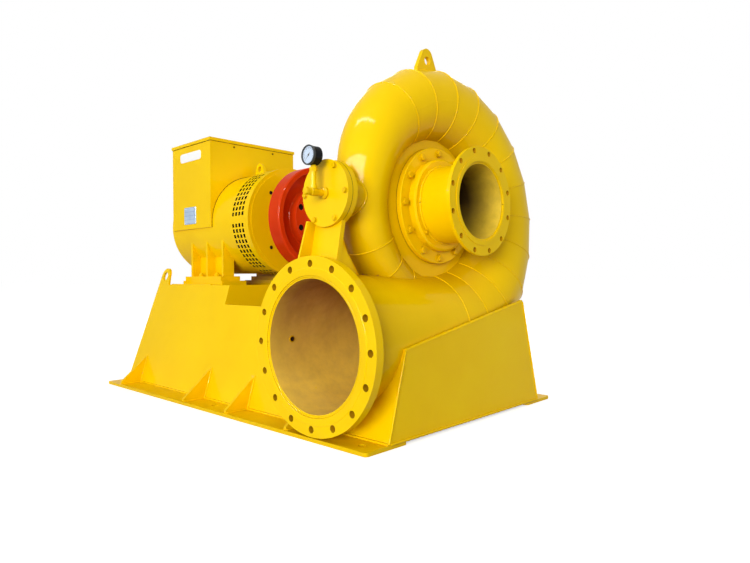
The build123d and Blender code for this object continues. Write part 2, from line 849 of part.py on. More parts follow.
with BuildPart() as bearing_pedestal:
    with BuildSketch(Plane.XY.offset(deck_top_z)):
        with Locations((bearing_x, 0)):
            RectangleRounded(bearing_len, 2 * (pedestal_half + pedestal_toe), pedestal_foot)
    extrude(amount=pedestal_foot)
    with BuildSketch(Plane.YZ.offset(bearing_back_x + pedestal_margin)):
        with BuildLine():
            Polyline(
                (-pedestal_half, deck_top_z + pedestal_foot / 2),
                (-bearing_r, axis_z),
                (bearing_r, axis_z),
                (pedestal_half, deck_top_z + pedestal_foot / 2),
                close=True,
            )
        make_face()
    extrude(amount=bearing_len - 2 * pedestal_margin)
    with BuildSketch(axial(bearing_x - bearing_len)):
        Circle(bearing_r)
    extrude(amount=2 * bearing_len, mode=Mode.SUBTRACT)
bearing_pedestal.part.label = "bearing_pedestal"
export_step(bearing_pedestal.part, "parts/bearing_pedestal.step")

with BuildPart() as bearing_housing:
    with BuildSketch(axial(bearing_back_x + bearing_cap_len)):
        Circle(bearing_r)
    extrude(amount=bearing_len - 2 * bearing_cap_len)
    with BuildSketch(axial(bearing_back_x)):
        Circle(bearing_cap_r)
    extrude(amount=bearing_len)
    with BuildSketch(axial(bearing_back_x)):
        Circle(shaft_r + running_gap)
    extrude(amount=bearing_len, mode=Mode.SUBTRACT)
bearing_housing.part.label = "bearing_housing"
export_step(bearing_housing.part, "parts/bearing_housing.step")

# Rotor: turbine shaft, runner, flywheel, generator-side coupling half and generator shaft end
shaft_end_x = casing_x + hub_overrun
crown_x = ring_back_x + runner_gap
blade_x = crown_x + crown_thick
with BuildPart() as main_shaft:
    with BuildSketch(axial(wheel_back_x + shaft_inset)):
        Circle(shaft_r)
    extrude(amount=shaft_end_x - wheel_back_x - shaft_inset)
main_shaft.part.label = "main_shaft"
export_step(main_shaft.part, "parts/main_shaft.step")

with BuildPart() as turbine_runner:
    with BuildSketch(axial(crown_x)):
        Circle(runner_r)
        Circle(shaft_r, mode=Mode.SUBTRACT)
    extrude(amount=crown_thick)
    with BuildSketch(axial(blade_x)):
        Circle(runner_hub_r)
        Circle(shaft_r, mode=Mode.SUBTRACT)
    extrude(amount=shaft_end_x - blade_x)
    with BuildSketch(axial(blade_x)):
        with PolarLocations((runner_r + runner_hub_r - blade_inset) / 2, runner_blades):
            SlotOverall(runner_r - runner_hub_r + blade_inset / 2, blade_thick, rotation=28)
    extrude(amount=ring_half)
    with BuildSketch(axial(shaft_end_x)):
        Circle(runner_hub_r)
    extrude(amount=cone_len, taper=cone_taper)
turbine_runner.part.label = "turbine_runner"
export_step(turbine_runner.part, "parts/turbine_runner.step")

# Flywheel section turned about the shaft: heavy rim, dished web, coupling hub
with BuildPart() as flywheel:
    with BuildSketch(Plane.XY.offset(axis_z)):
        with BuildLine():
            Polyline(
                (wheel_back_x, 0),
                (wheel_back_x, wheel_r - wheel_edge),
                (wheel_back_x + wheel_edge, wheel_r),
                (wheel_front_x - wheel_edge, wheel_r),
                (wheel_front_x, wheel_r - wheel_edge),
                (wheel_front_x, wheel_r - wheel_rim),
                (wheel_back_x + wheel_web + wheel_slope, wheel_r - wheel_rim - wheel_edge),
                (wheel_back_x + wheel_web, hub_r + wheel_edge),
                (wheel_back_x + wheel_web + wheel_edge, hub_r),
                (wheel_front_x, hub_r),
                (wheel_front_x, shaft_r),
                (wheel_back_x + shaft_inset, shaft_r),
                (wheel_back_x + shaft_inset, 0),
                close=True,
            )
        make_face()
    revolve(axis=Axis((0, 0, axis_z), (1, 0, 0)))
    with BuildSketch(axial(wheel_front_x - pin_depth)):
        with PolarLocations(pin_circle_r, pin_count, start_angle=180 / pin_count):
            Circle(pin_d / 2)
    extrude(amount=pin_depth, mode=Mode.SUBTRACT)
flywheel.part.label = "flywheel"
export_step(flywheel.part, "parts/flywheel.step")

with BuildPart() as coupling_half:
    with BuildSketch(axial(coupling_back_x)):
        Circle(hub_r)
    extrude(amount=coupling_len)
    chamfer(coupling_half.edges().group_by(Axis.X)[0], coupling_edge)
    with BuildSketch(axial(coupling_front_x)):
        with PolarLocations(pin_circle_r, pin_count, start_angle=180 / pin_count):
            Circle(pin_d / 2)
    extrude(amount=half_gap)
coupling_half.part.label = "coupling_half"
export_step(coupling_half.part, "parts/coupling_half.step")

shield_back_x = gen_front_x - shield_inset
with BuildPart() as generator_shaft:
    with BuildSketch(axial(shield_back_x)):
        Circle(gen_shaft_r)
    extrude(amount=coupling_back_x - shield_back_x)
generator_shaft.part.label = "generator_shaft"
export_step(generator_shaft.part, "parts/generator_shaft.step")

# Generator: barrel, vented drive-end ring, end shield, bearing cap, rear cover
with BuildPart() as generator_barrel:
    with BuildSketch(axial(gen_rear_x)):
        Circle(gen_r)
    extrude(amount=barrel_len)
generator_barrel.part.label = "generator_barrel"
export_step(generator_barrel.part, "parts/generator_barrel.step")

vent_ring_r = gen_r + vent_ring_rise
ring_inner_r = vent_ring_r - ring_wall
vent_first_x = gen_front_x - vent_setback - (vent_columns - 1) / 2 * vent_pitch - vent_width / 2
vent_starts = (vent_start, -vent_start - vent_arc, 180 + vent_start, 180 - vent_start - vent_arc)
vent_low_start = 270 - vent_low_arc / 2
with BuildPart() as drive_end_ring:
    with BuildSketch(axial(vent_back_x)):
        Circle(vent_ring_r)
        Circle(ring_inner_r, mode=Mode.SUBTRACT)
    extrude(amount=vent_ring_len)
    for k in range(vent_columns):
        with BuildSketch(axial(vent_first_x + k * vent_pitch)):
            for start in vent_starts:
                with PolarLocations(vent_ring_r, vent_rows, start, vent_arc, endpoint=True):
                    Rectangle(3 * ring_wall, vent_height)
            with PolarLocations(vent_ring_r, vent_low_rows, vent_low_start, vent_low_arc, endpoint=True):
                Rectangle(3 * ring_wall, vent_height)
        extrude(amount=vent_width, mode=Mode.SUBTRACT)
drive_end_ring.part.label = "drive_end_ring"
export_step(drive_end_ring.part, "parts/drive_end_ring.step")

with BuildPart() as end_shield:
    with BuildSketch(axial(shield_back_x)):
        Circle(ring_inner_r)
        Circle(gen_shaft_r + running_gap, mode=Mode.SUBTRACT)
    extrude(amount=shield_inset + shield_proud)
end_shield.part.label = "end_shield"
export_step(end_shield.part, "parts/end_shield.step")

with BuildPart() as bearing_cap:
    with BuildSketch(axial(gen_front_x + shield_proud)):
        Circle(cap_r)
        Circle(gen_shaft_r + cap_clear, mode=Mode.SUBTRACT)
    extrude(amount=cap_thick)
bearing_cap.part.label = "bearing_cap"
export_step(bearing_cap.part, "parts/bearing_cap.step")

with BuildPart() as generator_rear_cover:
    with BuildSketch(axial(gen_rear_x - rear_cover_len)):
        Circle(gen_r - rear_cover_inset)
    extrude(amount=rear_cover_len)
    chamfer(generator_rear_cover.edges().group_by(Axis.X)[0], rear_cover_edge)
generator_rear_cover.part.label = "generator_rear_cover"
export_step(generator_rear_cover.part, "parts/generator_rear_cover.step")

# Tall terminal box saddled over the barrel, with its lid
with BuildPart() as terminal_box:
    with BuildSketch(Plane.XY.offset(box_low_z)):
        with Locations(((box_rear_x + box_front_x) / 2, 0)):
            Rectangle(box_front_x - box_rear_x, 2 * box_half)
    extrude(amount=box_top_z - lid_thick - box_low_z)
    with BuildSketch(axial(gen_rear_x)):
        Circle(gen_r)
    extrude(amount=barrel_len, mode=Mode.SUBTRACT)
    with BuildSketch(Plane.XY.offset(box_low_z - box_skin)):
        with Locations(((box_rear_x + box_front_x) / 2, 0)):
            Rectangle(barrel_len, 2 * gen_r - shield_proud)
    extrude(amount=box_drop + box_skin, mode=Mode.SUBTRACT)
terminal_box.part.label = "terminal_box"
export_step(terminal_box.part, "parts/terminal_box.step")

with BuildPart() as terminal_box_lid:
    with BuildSketch(Plane.XY.offset(box_top_z - lid_thick)):
        with Locations(((box_rear_x + box_front_x) / 2, 0)):
            Rectangle(box_front_x - box_rear_x + 2 * lid_over, 2 * (box_half + lid_over))
    extrude(amount=lid_thick)
terminal_box_lid.part.label = "terminal_box_lid"
export_step(terminal_box_lid.part, "parts/terminal_box_lid.step")

# Generator feet with upright ribs and a web to the barrel
foot_len = gen_foot_x1 - gen_foot_x0
foot_mid_x = (gen_foot_x0 + gen_foot_x1) / 2
foot_rib_y = gen_foot_y1 - foot_rib_inset
with BuildPart() as left_generator_foot:
    with BuildSketch(Plane.XY.offset(gen_foot_z)):
        with Locations((foot_mid_x, -(gen_foot_y0 + gen_foot_y1) / 2)):
            Rectangle(foot_len, foot_depth)
    extrude(amount=gen_foot_thick)
    for x in (gen_foot_x0 + foot_rib_end * foot_len, foot_mid_x, gen_foot_x1 - foot_rib_end * foot_len):
        with BuildSketch(Plane.YZ.offset(x - foot_rib_thick / 2)):
            with BuildLine():
                Polyline(
                    (-gen_foot_y0 - foot_rib_inset, gen_foot_z + gen_foot_thick / 2),
                    (-gen_foot_y0 - foot_rib_inset, axis_z),
                    (-foot_rib_y, axis_z),
                    (-foot_rib_y, gen_foot_z + gen_foot_thick / 2),
                    close=True,
                )
            make_face()
        extrude(amount=foot_rib_thick)
    with BuildSketch(Plane.XY.offset(gen_foot_z + gen_foot_thick / 2)):
        with Locations((foot_mid_x, -gen_foot_y0 - foot_rib_inset - foot_rib_thick / 2)):
            Rectangle(foot_len - 2 * foot_rib_end * foot_len, foot_rib_thick)
    extrude(amount=axis_z - gen_foot_z - gen_foot_thick / 2)
    with BuildSketch(axial(gen_rear_x)):
        Circle(gen_r)
    extrude(amount=barrel_len, mode=Mode.SUBTRACT)
left_generator_foot.part.label = "left_generator_foot"
export_step(left_generator_foot.part, "parts/left_generator_foot.step")

with BuildPart() as right_generator_foot:
    add(mirror(left_generator_foot.part, about=Plane.XZ, mode=Mode.PRIVATE))
right_generator_foot.part.label = "right_generator_foot"
export_step(right_generator_foot.part, "parts/right_generator_foot.step")

# Lifting eye on top of the generator, ahead of the terminal box
eye_space = vent_back_x - box_front_x
eye_x = box_front_x + eye_share * eye_space
eye_half = eye_base_share * eye_space
gen_top_z = axis_z + gen_r
with BuildPart() as generator_lifting_eye:
    with BuildSketch(Plane.XZ.offset(-eye_plate / 2)):
        with Locations((eye_x, gen_top_z + 0.83 * eye_half)):
            Circle(0.5 * eye_half)
        with Locations((eye_x, gen_top_z)):
            Rectangle(1.7 * eye_half, eye_plate / 2)
        make_hull()
        with Locations((eye_x, gen_top_z + 0.74 * eye_half)):
            Circle(0.3 * eye_half, mode=Mode.SUBTRACT)
    extrude(amount=eye_plate)
    with BuildSketch(axial(gen_rear_x)):
        Circle(gen_r)
    extrude(amount=barrel_len, mode=Mode.SUBTRACT)
generator_lifting_eye.part.label = "generator_lifting_eye"
export_step(generator_lifting_eye.part, "parts/generator_lifting_eye.step")
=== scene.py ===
import json
import math

import bmesh
import bpy
from mathutils import Matrix, Vector
from mathutils.bvhtree import BVHTree


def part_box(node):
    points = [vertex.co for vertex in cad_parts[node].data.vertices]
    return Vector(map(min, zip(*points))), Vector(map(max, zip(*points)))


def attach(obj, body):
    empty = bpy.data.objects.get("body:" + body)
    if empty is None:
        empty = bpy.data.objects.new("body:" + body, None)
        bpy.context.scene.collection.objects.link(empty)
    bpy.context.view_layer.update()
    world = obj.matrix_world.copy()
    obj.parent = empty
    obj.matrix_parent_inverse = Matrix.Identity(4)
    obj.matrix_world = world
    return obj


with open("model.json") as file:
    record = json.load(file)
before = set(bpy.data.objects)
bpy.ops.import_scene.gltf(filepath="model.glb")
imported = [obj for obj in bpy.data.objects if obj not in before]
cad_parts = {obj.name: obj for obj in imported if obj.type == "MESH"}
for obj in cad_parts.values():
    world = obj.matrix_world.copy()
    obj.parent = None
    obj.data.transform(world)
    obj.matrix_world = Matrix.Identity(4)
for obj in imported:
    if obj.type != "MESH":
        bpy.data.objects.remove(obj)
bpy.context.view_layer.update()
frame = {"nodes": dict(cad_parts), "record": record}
nodes = frame["nodes"]

# Sizes repeated from the model, in metres: X runs along the shaft, the inlet faces -Y
CASING_X, SHAFT_Z, INLET_Z = 0.619, 0.740, 0.286
PIPE_R, PIPE_WALL, RING_R, RING_HALF = 0.213, 0.010, 0.262, 0.055
FACE_Y, FLANGE_THICK = -0.529, 0.028
INLET_BOLTS_R, INLET_HOLE_R = 0.2475, 0.011
OUTLET_BOLTS_R, OUTLET_HOLE_R = 0.1675, 0.009
COVER_X, REAR_COVER_X, COLLAR_THICK, TUBE_R, OUT_X = 0.694, 0.544, 0.026, 0.133, 0.875
COVER_BOLTS_R, GLAND_BOLTS_R, GLAND_THICK = 0.183, 0.106, 0.016
HATCH_Y, HATCH_R, HATCH_STACK, HATCH_BOLTS_R = -0.4686, 0.1028, 0.040, 0.0905
NOZZLE_Z, NOZZLE_R = 0.748, 0.0648
GEN_R, GEN_FRONT, VENT_BACK, GEN_REAR = 0.230, -0.124, -0.250, -0.770
BOX_REAR, BOX_FRONT, BOX_HALF, BOX_LID, BOX_TOP = -0.753, -0.4109, 0.238, 1.115, 1.129
WHEEL_FRONT, WHEEL_BACK, WHEEL_R, PIN_R = 0.062, -0.010, 0.218, 0.110
BEARING_X, BEARING_HALF, BEARING_BOLTS_R, PEDESTAL_FOOT_Z = 0.250, 0.085, 0.066, 0.413
CAP_BOLTS_R, REAR_BOLTS_R, SOCKETS_R, GEN_FOOT_Z = 0.088, 0.188, 0.167, 0.498
FOOT_TOP, WALL_TOP, LOW_TOP = 0.012, 0.460, 0.381
STEP_X, DECK_FRONT, REAR_WALL_X = -0.176, 0.396, -0.760
SADDLE_LOW, SADDLE_HIGH = 0.272, 0.394
GUSSETS = (-0.716, -0.156, 0.140, 0.482)
# Angle, radius of the section's centre and radius of the section, round the spiral
SPIRAL = (
    (0, 0.454, 0.213), (90, 0.40305, 0.18105), (180, 0.35896, 0.13696),
    (270, 0.3003, 0.0803), (350, 0.31268, 0.07668),
)
SEAMS = [17.5 * k for k in range(20) if k < 13 or k > 16]


def wall_y(z):
    """Outer face of the leaning side wall at a height."""
    return 0.430 - 0.29 * (z - FOOT_TOP)


def spiral_at(angle):
    """Radius of the section's centre and of the section at an angle in degrees."""
    for low, high in zip(SPIRAL, SPIRAL[1:]):
        if angle <= high[0]:
            part = (angle - low[0]) / (high[0] - low[0])
            return low[1] + part * (high[1] - low[1]), low[2] + part * (high[2] - low[2])
    return SPIRAL[-1][1], SPIRAL[-1][2]


# ---------------------------------------------------------------- materials
def srgb(r, g, b):
    """Linear colour from 0-255 screen values."""
    def lin(v):
        v /= 255
        return v / 12.92 if v <= 0.04045 else ((v + 0.055) / 1.055) ** 2.4
    return (lin(r), lin(g), lin(b), 1)


class Nodes:
    """Short forms for building a material's node tree."""

    def __init__(self, name):
        self.mat = bpy.data.materials.new(name)
        self.mat.use_nodes = True
        self.tree = self.mat.node_tree
        self.bsdf = self.tree.nodes["Principled BSDF"]
        self.coord = self.tree.nodes.new("ShaderNodeTexCoord").outputs["Object"]

    def set(self, key, value):
        self.bsdf.inputs[key].default_value = value

    def link(self, a, b):
        self.tree.links.new(a, b)

    def noise(self, scale, detail=4.0, rough=0.55, vector=None):
        node = self.tree.nodes.new("ShaderNodeTexNoise")
        node.inputs["Scale"].default_value = scale
        node.inputs["Detail"].default_value = detail
        node.inputs["Roughness"].default_value = rough
        self.link(vector or self.coord, node.inputs["Vector"])
        return node.outputs["Fac"]

    def stretch(self, scale):
        node = self.tree.nodes.new("ShaderNodeMapping")
        node.inputs["Scale"].default_value = scale
        self.link(self.coord, node.inputs["Vector"])
        return node.outputs["Vector"]

    def ramp(self, value, stops):
        node = self.tree.nodes.new("ShaderNodeValToRGB")
        points = node.color_ramp.elements
        points[0].position, points[0].color = stops[0]
        points[1].position, points[1].color = stops[-1]
        for place, colour in stops[1:-1]:
            points.new(place).color = colour
        self.link(value, node.inputs["Fac"])
        return node.outputs["Color"]

    def span(self, value, low, high, to_low, to_high):
        node = self.tree.nodes.new("ShaderNodeMapRange")
        keys = ("From Min", "From Max", "To Min", "To Max")
        for key, number in zip(keys, (low, high, to_low, to_high)):
            node.inputs[key].default_value = number
        self.link(value, node.inputs["Value"])
        return node.outputs["Result"]

    def mix(self, factor, a, b):
        node = self.tree.nodes.new("ShaderNodeMix")
        node.data_type = "RGBA"
        self.link(factor, node.inputs["Factor"])
        for socket, source in ((node.inputs[6], a), (node.inputs[7], b)):
            if isinstance(source, tuple):
                socket.default_value = source
            else:
                self.link(source, socket)
        return node.outputs[2]

    def times(self, a, b):
        node = self.tree.nodes.new("ShaderNodeMath")
        node.operation = "MULTIPLY"
        self.link(a, node.inputs[0])
        self.link(b, node.inputs[1])
        return node.outputs[0]

    def edges(self, radius):
        """How far the normal agrees with that of a rounded edge: 1 away from edges."""
        bevel = self.tree.nodes.new("ShaderNodeBevel")
        bevel.samples = 6
        bevel.inputs["Radius"].default_value = radius
        flat = self.tree.nodes.new("ShaderNodeNewGeometry")
        node = self.tree.nodes.new("ShaderNodeVectorMath")
        node.operation = "DOT_PRODUCT"
        self.link(bevel.outputs["Normal"], node.inputs[0])
        self.link(flat.outputs["Normal"], node.inputs[1])
        return node.outputs["Value"]

    def open_share(self, reach):
        """Ambient occlusion: 1 on open faces, less in corners and hollows."""
        node = self.tree.nodes.new("ShaderNodeAmbientOcclusion")
        node.samples = 8
        node.inputs["Distance"].default_value = reach
        return node.outputs["AO"]

    def axis(self, key):
        node = self.tree.nodes.new("ShaderNodeSeparateXYZ")
        self.link(self.coord, node.inputs[0])
        return node.outputs[key]

    def bumps(self, *layers):
        """Bump layers of (height, strength, distance), each on top of the last."""
        last = None
        for height, strength, distance in layers:
            node = self.tree.nodes.new("ShaderNodeBump")
            node.inputs["Strength"].default_value = strength
            node.inputs["Distance"].default_value = distance
            self.link(height, node.inputs["Height"])
            if last:
                self.link(last, node.inputs["Normal"])
            last = node.outputs["Normal"]
        self.link(last, self.bsdf.inputs["Normal"])


EDGE_RADIUS = 0.003


def paint(name, low, base, high, rough=(0.30, 0.42), coat=0.12, level=0.025, peel=0.06, wave=0.16,
          edge=None, dust=None, painted_corner_shade=None, reach=0.06):
    """Sprayed enamel: uneven tone, orange peel, wavy plate and dust spots; painted shade darkens
    corners and hollows, and open edges are lighter, partly worn paint, partly painted highlight.
    """
    m = Nodes(name)
    m.set("Coat Weight", coat)
    m.set("Coat Roughness", 0.03)
    m.set("Specular IOR Level", level)
    m.set("Specular Tint", tuple(0.25 + 0.75 * v for v in base[:3]) + (1,))
    colour = m.ramp(m.noise(4.0, 6.0), [(0.3, low), (0.5, base), (0.72, high)])
    if dust:
        spots = m.span(m.noise(38.0, 7.0, 0.7), 0.60, 0.74, 0.0, 0.30)
        colour = m.mix(spots, colour, dust)
    # Painted shade: the colour darkens towards the corner tone where ambient occlusion finds
    # corners and hollows.
    if painted_corner_shade:
        openness = m.open_share(reach)
        colour = m.mix(m.span(openness, 0.85, 0.25, 0.0, 0.6), colour, painted_corner_shade)
        # Lighter open edges: partly worn paint, partly painted highlight.
        if edge:
            worn_and_lit_edge = m.span(m.edges(EDGE_RADIUS), 0.98, 0.80, 0.0, 0.6)
            colour = m.mix(m.times(worn_and_lit_edge, m.span(openness, 0.7, 0.95, 0.0, 1.0)), colour, edge)
    m.link(colour, m.bsdf.inputs["Base Color"])
    m.link(m.span(m.noise(13.0, 5.0), 0.3, 0.7, *rough), m.bsdf.inputs["Roughness"])
    m.bumps((m.noise(16.0, 2.0), wave, 0.004), (m.noise(420.0, 2.0), peel, 0.0006))
    return m.mat


def steel_look(name, tone, turned=(160, 20, 20)):
    """Bare or plated steel with fine machining lines and a slight stain."""
    m = Nodes(name)
    m.set("Metallic", 1.0)
    dark = tuple(v * 0.72 for v in tone[:3]) + (1,)
    stain = m.ramp(m.noise(30.0, 6.0, 0.65), [(0.32, dark), (0.55, tone), (0.8, tone)])
    m.link(stain, m.bsdf.inputs["Base Color"])
    m.link(m.span(m.noise(60.0, 4.0), 0.3, 0.7, 0.22, 0.4), m.bsdf.inputs["Roughness"])
    lines = m.noise(5.0, 2.0, vector=m.stretch(turned))
    m.bumps((lines, 0.15, 0.0006), (m.noise(500.0, 2.0), 0.1, 0.0003))
    return m.mat


def primer_look(name, tones, mouth, fall, tan):
    """Primer in a water passage: runs and grit, fading to tan along two axes: partly overspray of
    paint at the mouth, partly painted light and shade, lighter towards the bottom and darker deep
    inside.
    """
    m = Nodes(name)
    m.set("Specular IOR Level", 0.2)
    brown = m.ramp(m.noise(7.0, 8.0, 0.62), list(zip((0.28, 0.5, 0.74), tones)))
    streaks = m.noise(3.0, 4.0, vector=m.stretch((18, 18, 2.2)))
    brown = m.mix(m.span(streaks, 0.5, 0.72, 0.0, 0.4), brown, tones[2])
    grain = m.noise(16.0, 6.0, 0.7)
    for axis, start, end, strength in (fall, mouth):
        fade = m.span(m.axis(axis), start, end, 0.0, strength)
        tan_share = m.times(fade, m.span(grain, 0.30, 0.62, 0.7, 1.0))
        brown = m.mix(tan_share, brown, tan)
    m.link(brown, m.bsdf.inputs["Base Color"])
    m.link(m.span(m.noise(20.0, 5.0), 0.3, 0.7, 0.5, 0.75), m.bsdf.inputs["Roughness"])
    m.bumps((m.noise(24.0, 3.0), 0.3, 0.003), (m.noise(300.0, 3.0), 0.3, 0.0008))
    return m.mat


def tag_look(name, tones, row_tone):
    """Pale sheet with faint rows, as on a bare data plate."""
    m = Nodes(name)
    m.set("Metallic", 0.15)
    rows = m.tree.nodes.new("ShaderNodeTexWave")
    rows.bands_direction = "Z"
    rows.inputs["Scale"].default_value = 17.0
    rows.inputs["Distortion"].default_value = 0.0
    m.link(m.coord, rows.inputs["Vector"])
    sheet = m.ramp(m.noise(26.0, 5.0), list(zip((0.3, 0.5, 0.7), tones)))
    ruled = m.mix(m.span(rows.outputs["Fac"], 0.86, 0.97, 0.0, 0.45), sheet, row_tone)
    m.link(ruled, m.bsdf.inputs["Base Color"])
    m.link(m.span(m.noise(40.0, 4.0), 0.3, 0.7, 0.3, 0.45), m.bsdf.inputs["Roughness"])
    m.bumps((m.noise(90.0, 3.0), 0.1, 0.0005))
    return m.mat


def glass_look(name):
    """Thin clear window with slight smears."""
    m = Nodes(name)
    m.set("Base Color", (1, 1, 1, 1))
    m.set("Alpha", 0.10)
    m.link(m.span(m.noise(60.0, 3.0), 0.3, 0.7, 0.03, 0.09), m.bsdf.inputs["Roughness"])
    return m.mat


# Yellow enamel tones; edge is the lighter tone of open edges, partly worn paint, partly painted
# highlight.
YELLOWS = dict(
    low=srgb(244, 199, 0), base=srgb(248, 204, 1), high=srgb(250, 209, 2),
    edge=srgb(255, 222, 30), dust=srgb(240, 192, 2),
)
DULL = dict(coat=0.0, peel=0.3)
FLAT = dict(rough=(0.4, 0.5), coat=0.0, wave=0.02)
# Painted shade in corners; the casing's shade is darker and reaches further into its hollows.
yellow = paint("yellow_paint", painted_corner_shade=srgb(206, 160, 2), **YELLOWS)
casing_yellow = paint("casing_paint", painted_corner_shade=srgb(138, 98, 0), reach=0.25, **YELLOWS)
# Bolt paint: a darker copy of the yellow, painted shade on the bolts, with painted shade in their
# corners.
shaded_bolt_yellow = paint(
    "bolt_paint", srgb(226, 180, 0), srgb(234, 188, 1), srgb(242, 198, 2),
    painted_corner_shade=srgb(120, 84, 0), reach=0.03,
)
# Red enamel: painted shade in corners; lighter pink edges, partly worn paint, partly painted
# highlight.
red = paint(
    "red_paint", srgb(200, 47, 5), srgb(210, 57, 10), srgb(218, 64, 14), coat=0.06, level=0.02,
    edge=srgb(244, 112, 84), dust=srgb(190, 38, 6), painted_corner_shade=srgb(186, 58, 6),
)
black = paint(
    "black_case", srgb(16, 16, 17), srgb(24, 24, 26), srgb(34, 34, 36), rough=(0.3, 0.45),
)
bezel_grey = paint(
    "bezel_grey", srgb(58, 62, 64), srgb(70, 74, 76), srgb(84, 88, 90), rough=(0.3, 0.45),
)
white = paint("white_dial", srgb(190, 208, 230), srgb(201, 218, 238), srgb(212, 226, 243), **FLAT)
plate_white = paint(
    "white_plate", srgb(246, 247, 247), srgb(250, 250, 250), srgb(253, 253, 253), **FLAT,
)
# Dark rubber for the coupling bushes; the same colour in the tapping hole and the jacking holes is
# painted shade.
rubber_and_hole_shade = paint(
    "dark_rubber_and_hole_shade", srgb(26, 14, 12), srgb(34, 20, 17), srgb(46, 30, 26), rough=(0.6, 0.8), **DULL,
)
gasket = paint(
    "gasket", srgb(118, 88, 14), srgb(138, 104, 16), srgb(156, 120, 20),
    rough=(0.7, 0.9), coat=0.0, peel=0.4,
)
# Dark stator windings; the same colour on the walls of the vent slots is painted shade.
winding_and_slot_shade = paint(
    "winding_and_slot_shade", srgb(30, 20, 10), srgb(44, 29, 14), srgb(64, 43, 20), rough=(0.5, 0.7), **DULL,
)
shade = paint(
    "shaded_paint", srgb(164, 120, 8), srgb(184, 136, 10), srgb(200, 150, 14),
    rough=(0.5, 0.7), coat=0.0,
)
seal = paint(
    "seal", srgb(84, 60, 10), srgb(100, 72, 12), srgb(116, 84, 16), rough=(0.6, 0.8), **DULL,
)
steel = steel_look("machined_steel", srgb(160, 160, 164), turned=(220, 8, 8))
zinc = steel_look("plated_steel", srgb(196, 194, 186))
# Inlet pipe and casing passages: the tan towards the mouth is overspray; the tan towards the bottom
# of the pipe is painted light.
primer = primer_look(
    "brown_primer", (srgb(136, 84, 44), srgb(160, 104, 54), srgb(186, 130, 70)),
    mouth=("Y", -0.47, -0.56, 0.6), fall=("Z", INLET_Z + 0.18, INLET_Z - 0.14, 1.0),
    tan=srgb(250, 206, 74),
)
# Draft tube bore: the primer tones are darkened as painted shade; it is darkest deep in the bore,
# tan towards the outlet end, partly overspray and partly painted light, and tan towards the bottom
# as painted light.
shaded_bore_primer = primer_look(
    "bore_primer", (srgb(58, 40, 8), srgb(76, 54, 10), srgb(98, 72, 16)),
    mouth=("Z", SHAFT_Z + 0.02, SHAFT_Z - 0.13, 0.5), fall=("X", 0.735, 0.885, 0.95),
    tan=srgb(254, 214, 56),
)
tag = tag_look(
    "blue_tag", (srgb(146, 168, 194), srgb(158, 180, 204), srgb(172, 192, 212)),
    row_tone=srgb(96, 128, 180),
)
glass = glass_look("gauge_glass")

LOOK = {
    "yellow_paint": yellow, "red_paint": red, "black_case": black, "white_dial": white,
    "machined_steel": steel,
}
slots = {s["node"]: s["material_slot"] for s in frame["record"]["subparts"]}


# ---------------------------------------------------------------- the CAD nodes
def inner_face(name, face):
    """True where a face looks into the water passage."""
    c = face.center
    if name == "stay_ring":
        return abs(c.x - CASING_X) < RING_HALF - 0.002
    if name == "draft_tube":
        out = Vector((0, c.y, c.z - SHAFT_Z))
    elif name == "inlet_pipe" or (
        c.y < 0 and math.hypot(c.x - CASING_X, c.z - INLET_Z) < PIPE_R + 0.002
    ):
        out = Vector((c.x - CASING_X, 0, c.z - INLET_Z))
    else:
        turn = math.atan2(c.y, SHAFT_Z - c.z)
        mid = spiral_at(math.degrees(turn) % 360)[0]
        out = c - Vector((CASING_X, mid * math.sin(turn), SHAFT_Z - mid * math.cos(turn)))
    return face.normal.dot(out.normalized()) < -0.3


def hole_wall(name, face):
    """True for the wall of a bolt hole or a vent slot."""
    c, n = face.center, face.normal
    slack = 0.0005
    if name == "inlet_flange":
        off = math.hypot(c.x - CASING_X, c.z - INLET_Z) - INLET_BOLTS_R
        return abs(n.y) < 0.5 and abs(off) < INLET_HOLE_R + slack
    if name == "outlet_flange":
        off = math.hypot(c.y, c.z - SHAFT_Z) - OUTLET_BOLTS_R
        return abs(n.x) < 0.5 and abs(off) < OUTLET_HOLE_R + slack
    out = Vector((0, c.y, c.z - SHAFT_Z)).normalized()
    return VENT_BACK + 0.006 < c.x < GEN_FRONT - 0.006 and n.dot(out) < 0.5


def wheel_edge(name, face):
    """True for the yellow band on the back edge of the flywheel."""
    out = math.hypot(face.center.y, face.center.z - SHAFT_Z)
    return face.center.x < WHEEL_BACK + 0.0035 and out > WHEEL_R - 0.006


# Node: the look of some of its faces, and the test on (node name, face) that picks them
# Walls of bolt holes and vent slots take darker colours: painted shade for their depth.
SECOND_LOOK = {
    "inlet_pipe": (primer, inner_face), "spiral_casing": (primer, inner_face),
    "stay_ring": (primer, inner_face), "draft_tube": (shaded_bore_primer, inner_face),
    "inlet_flange": (shade, hole_wall), "outlet_flange": (shade, hole_wall),
    "drive_end_ring": (winding_and_slot_shade, hole_wall), "flywheel": (yellow, wheel_edge),
}
PLATES = (
    "left_foot_plate", "right_foot_plate", "left_side_wall", "right_side_wall", "rear_end_wall",
    "step_cross_plate", "rear_saddle_plate", "front_saddle_plate", "left_gussets",
    "right_gussets", "left_rail", "right_rail", "bearing_deck", "terminal_box",
    "terminal_box_lid", "left_generator_foot", "right_generator_foot", "casing_lifting_eye",
    "generator_lifting_eye", "column_rib", "nozzle_column", "inspection_hatch",
    "bearing_pedestal",
)
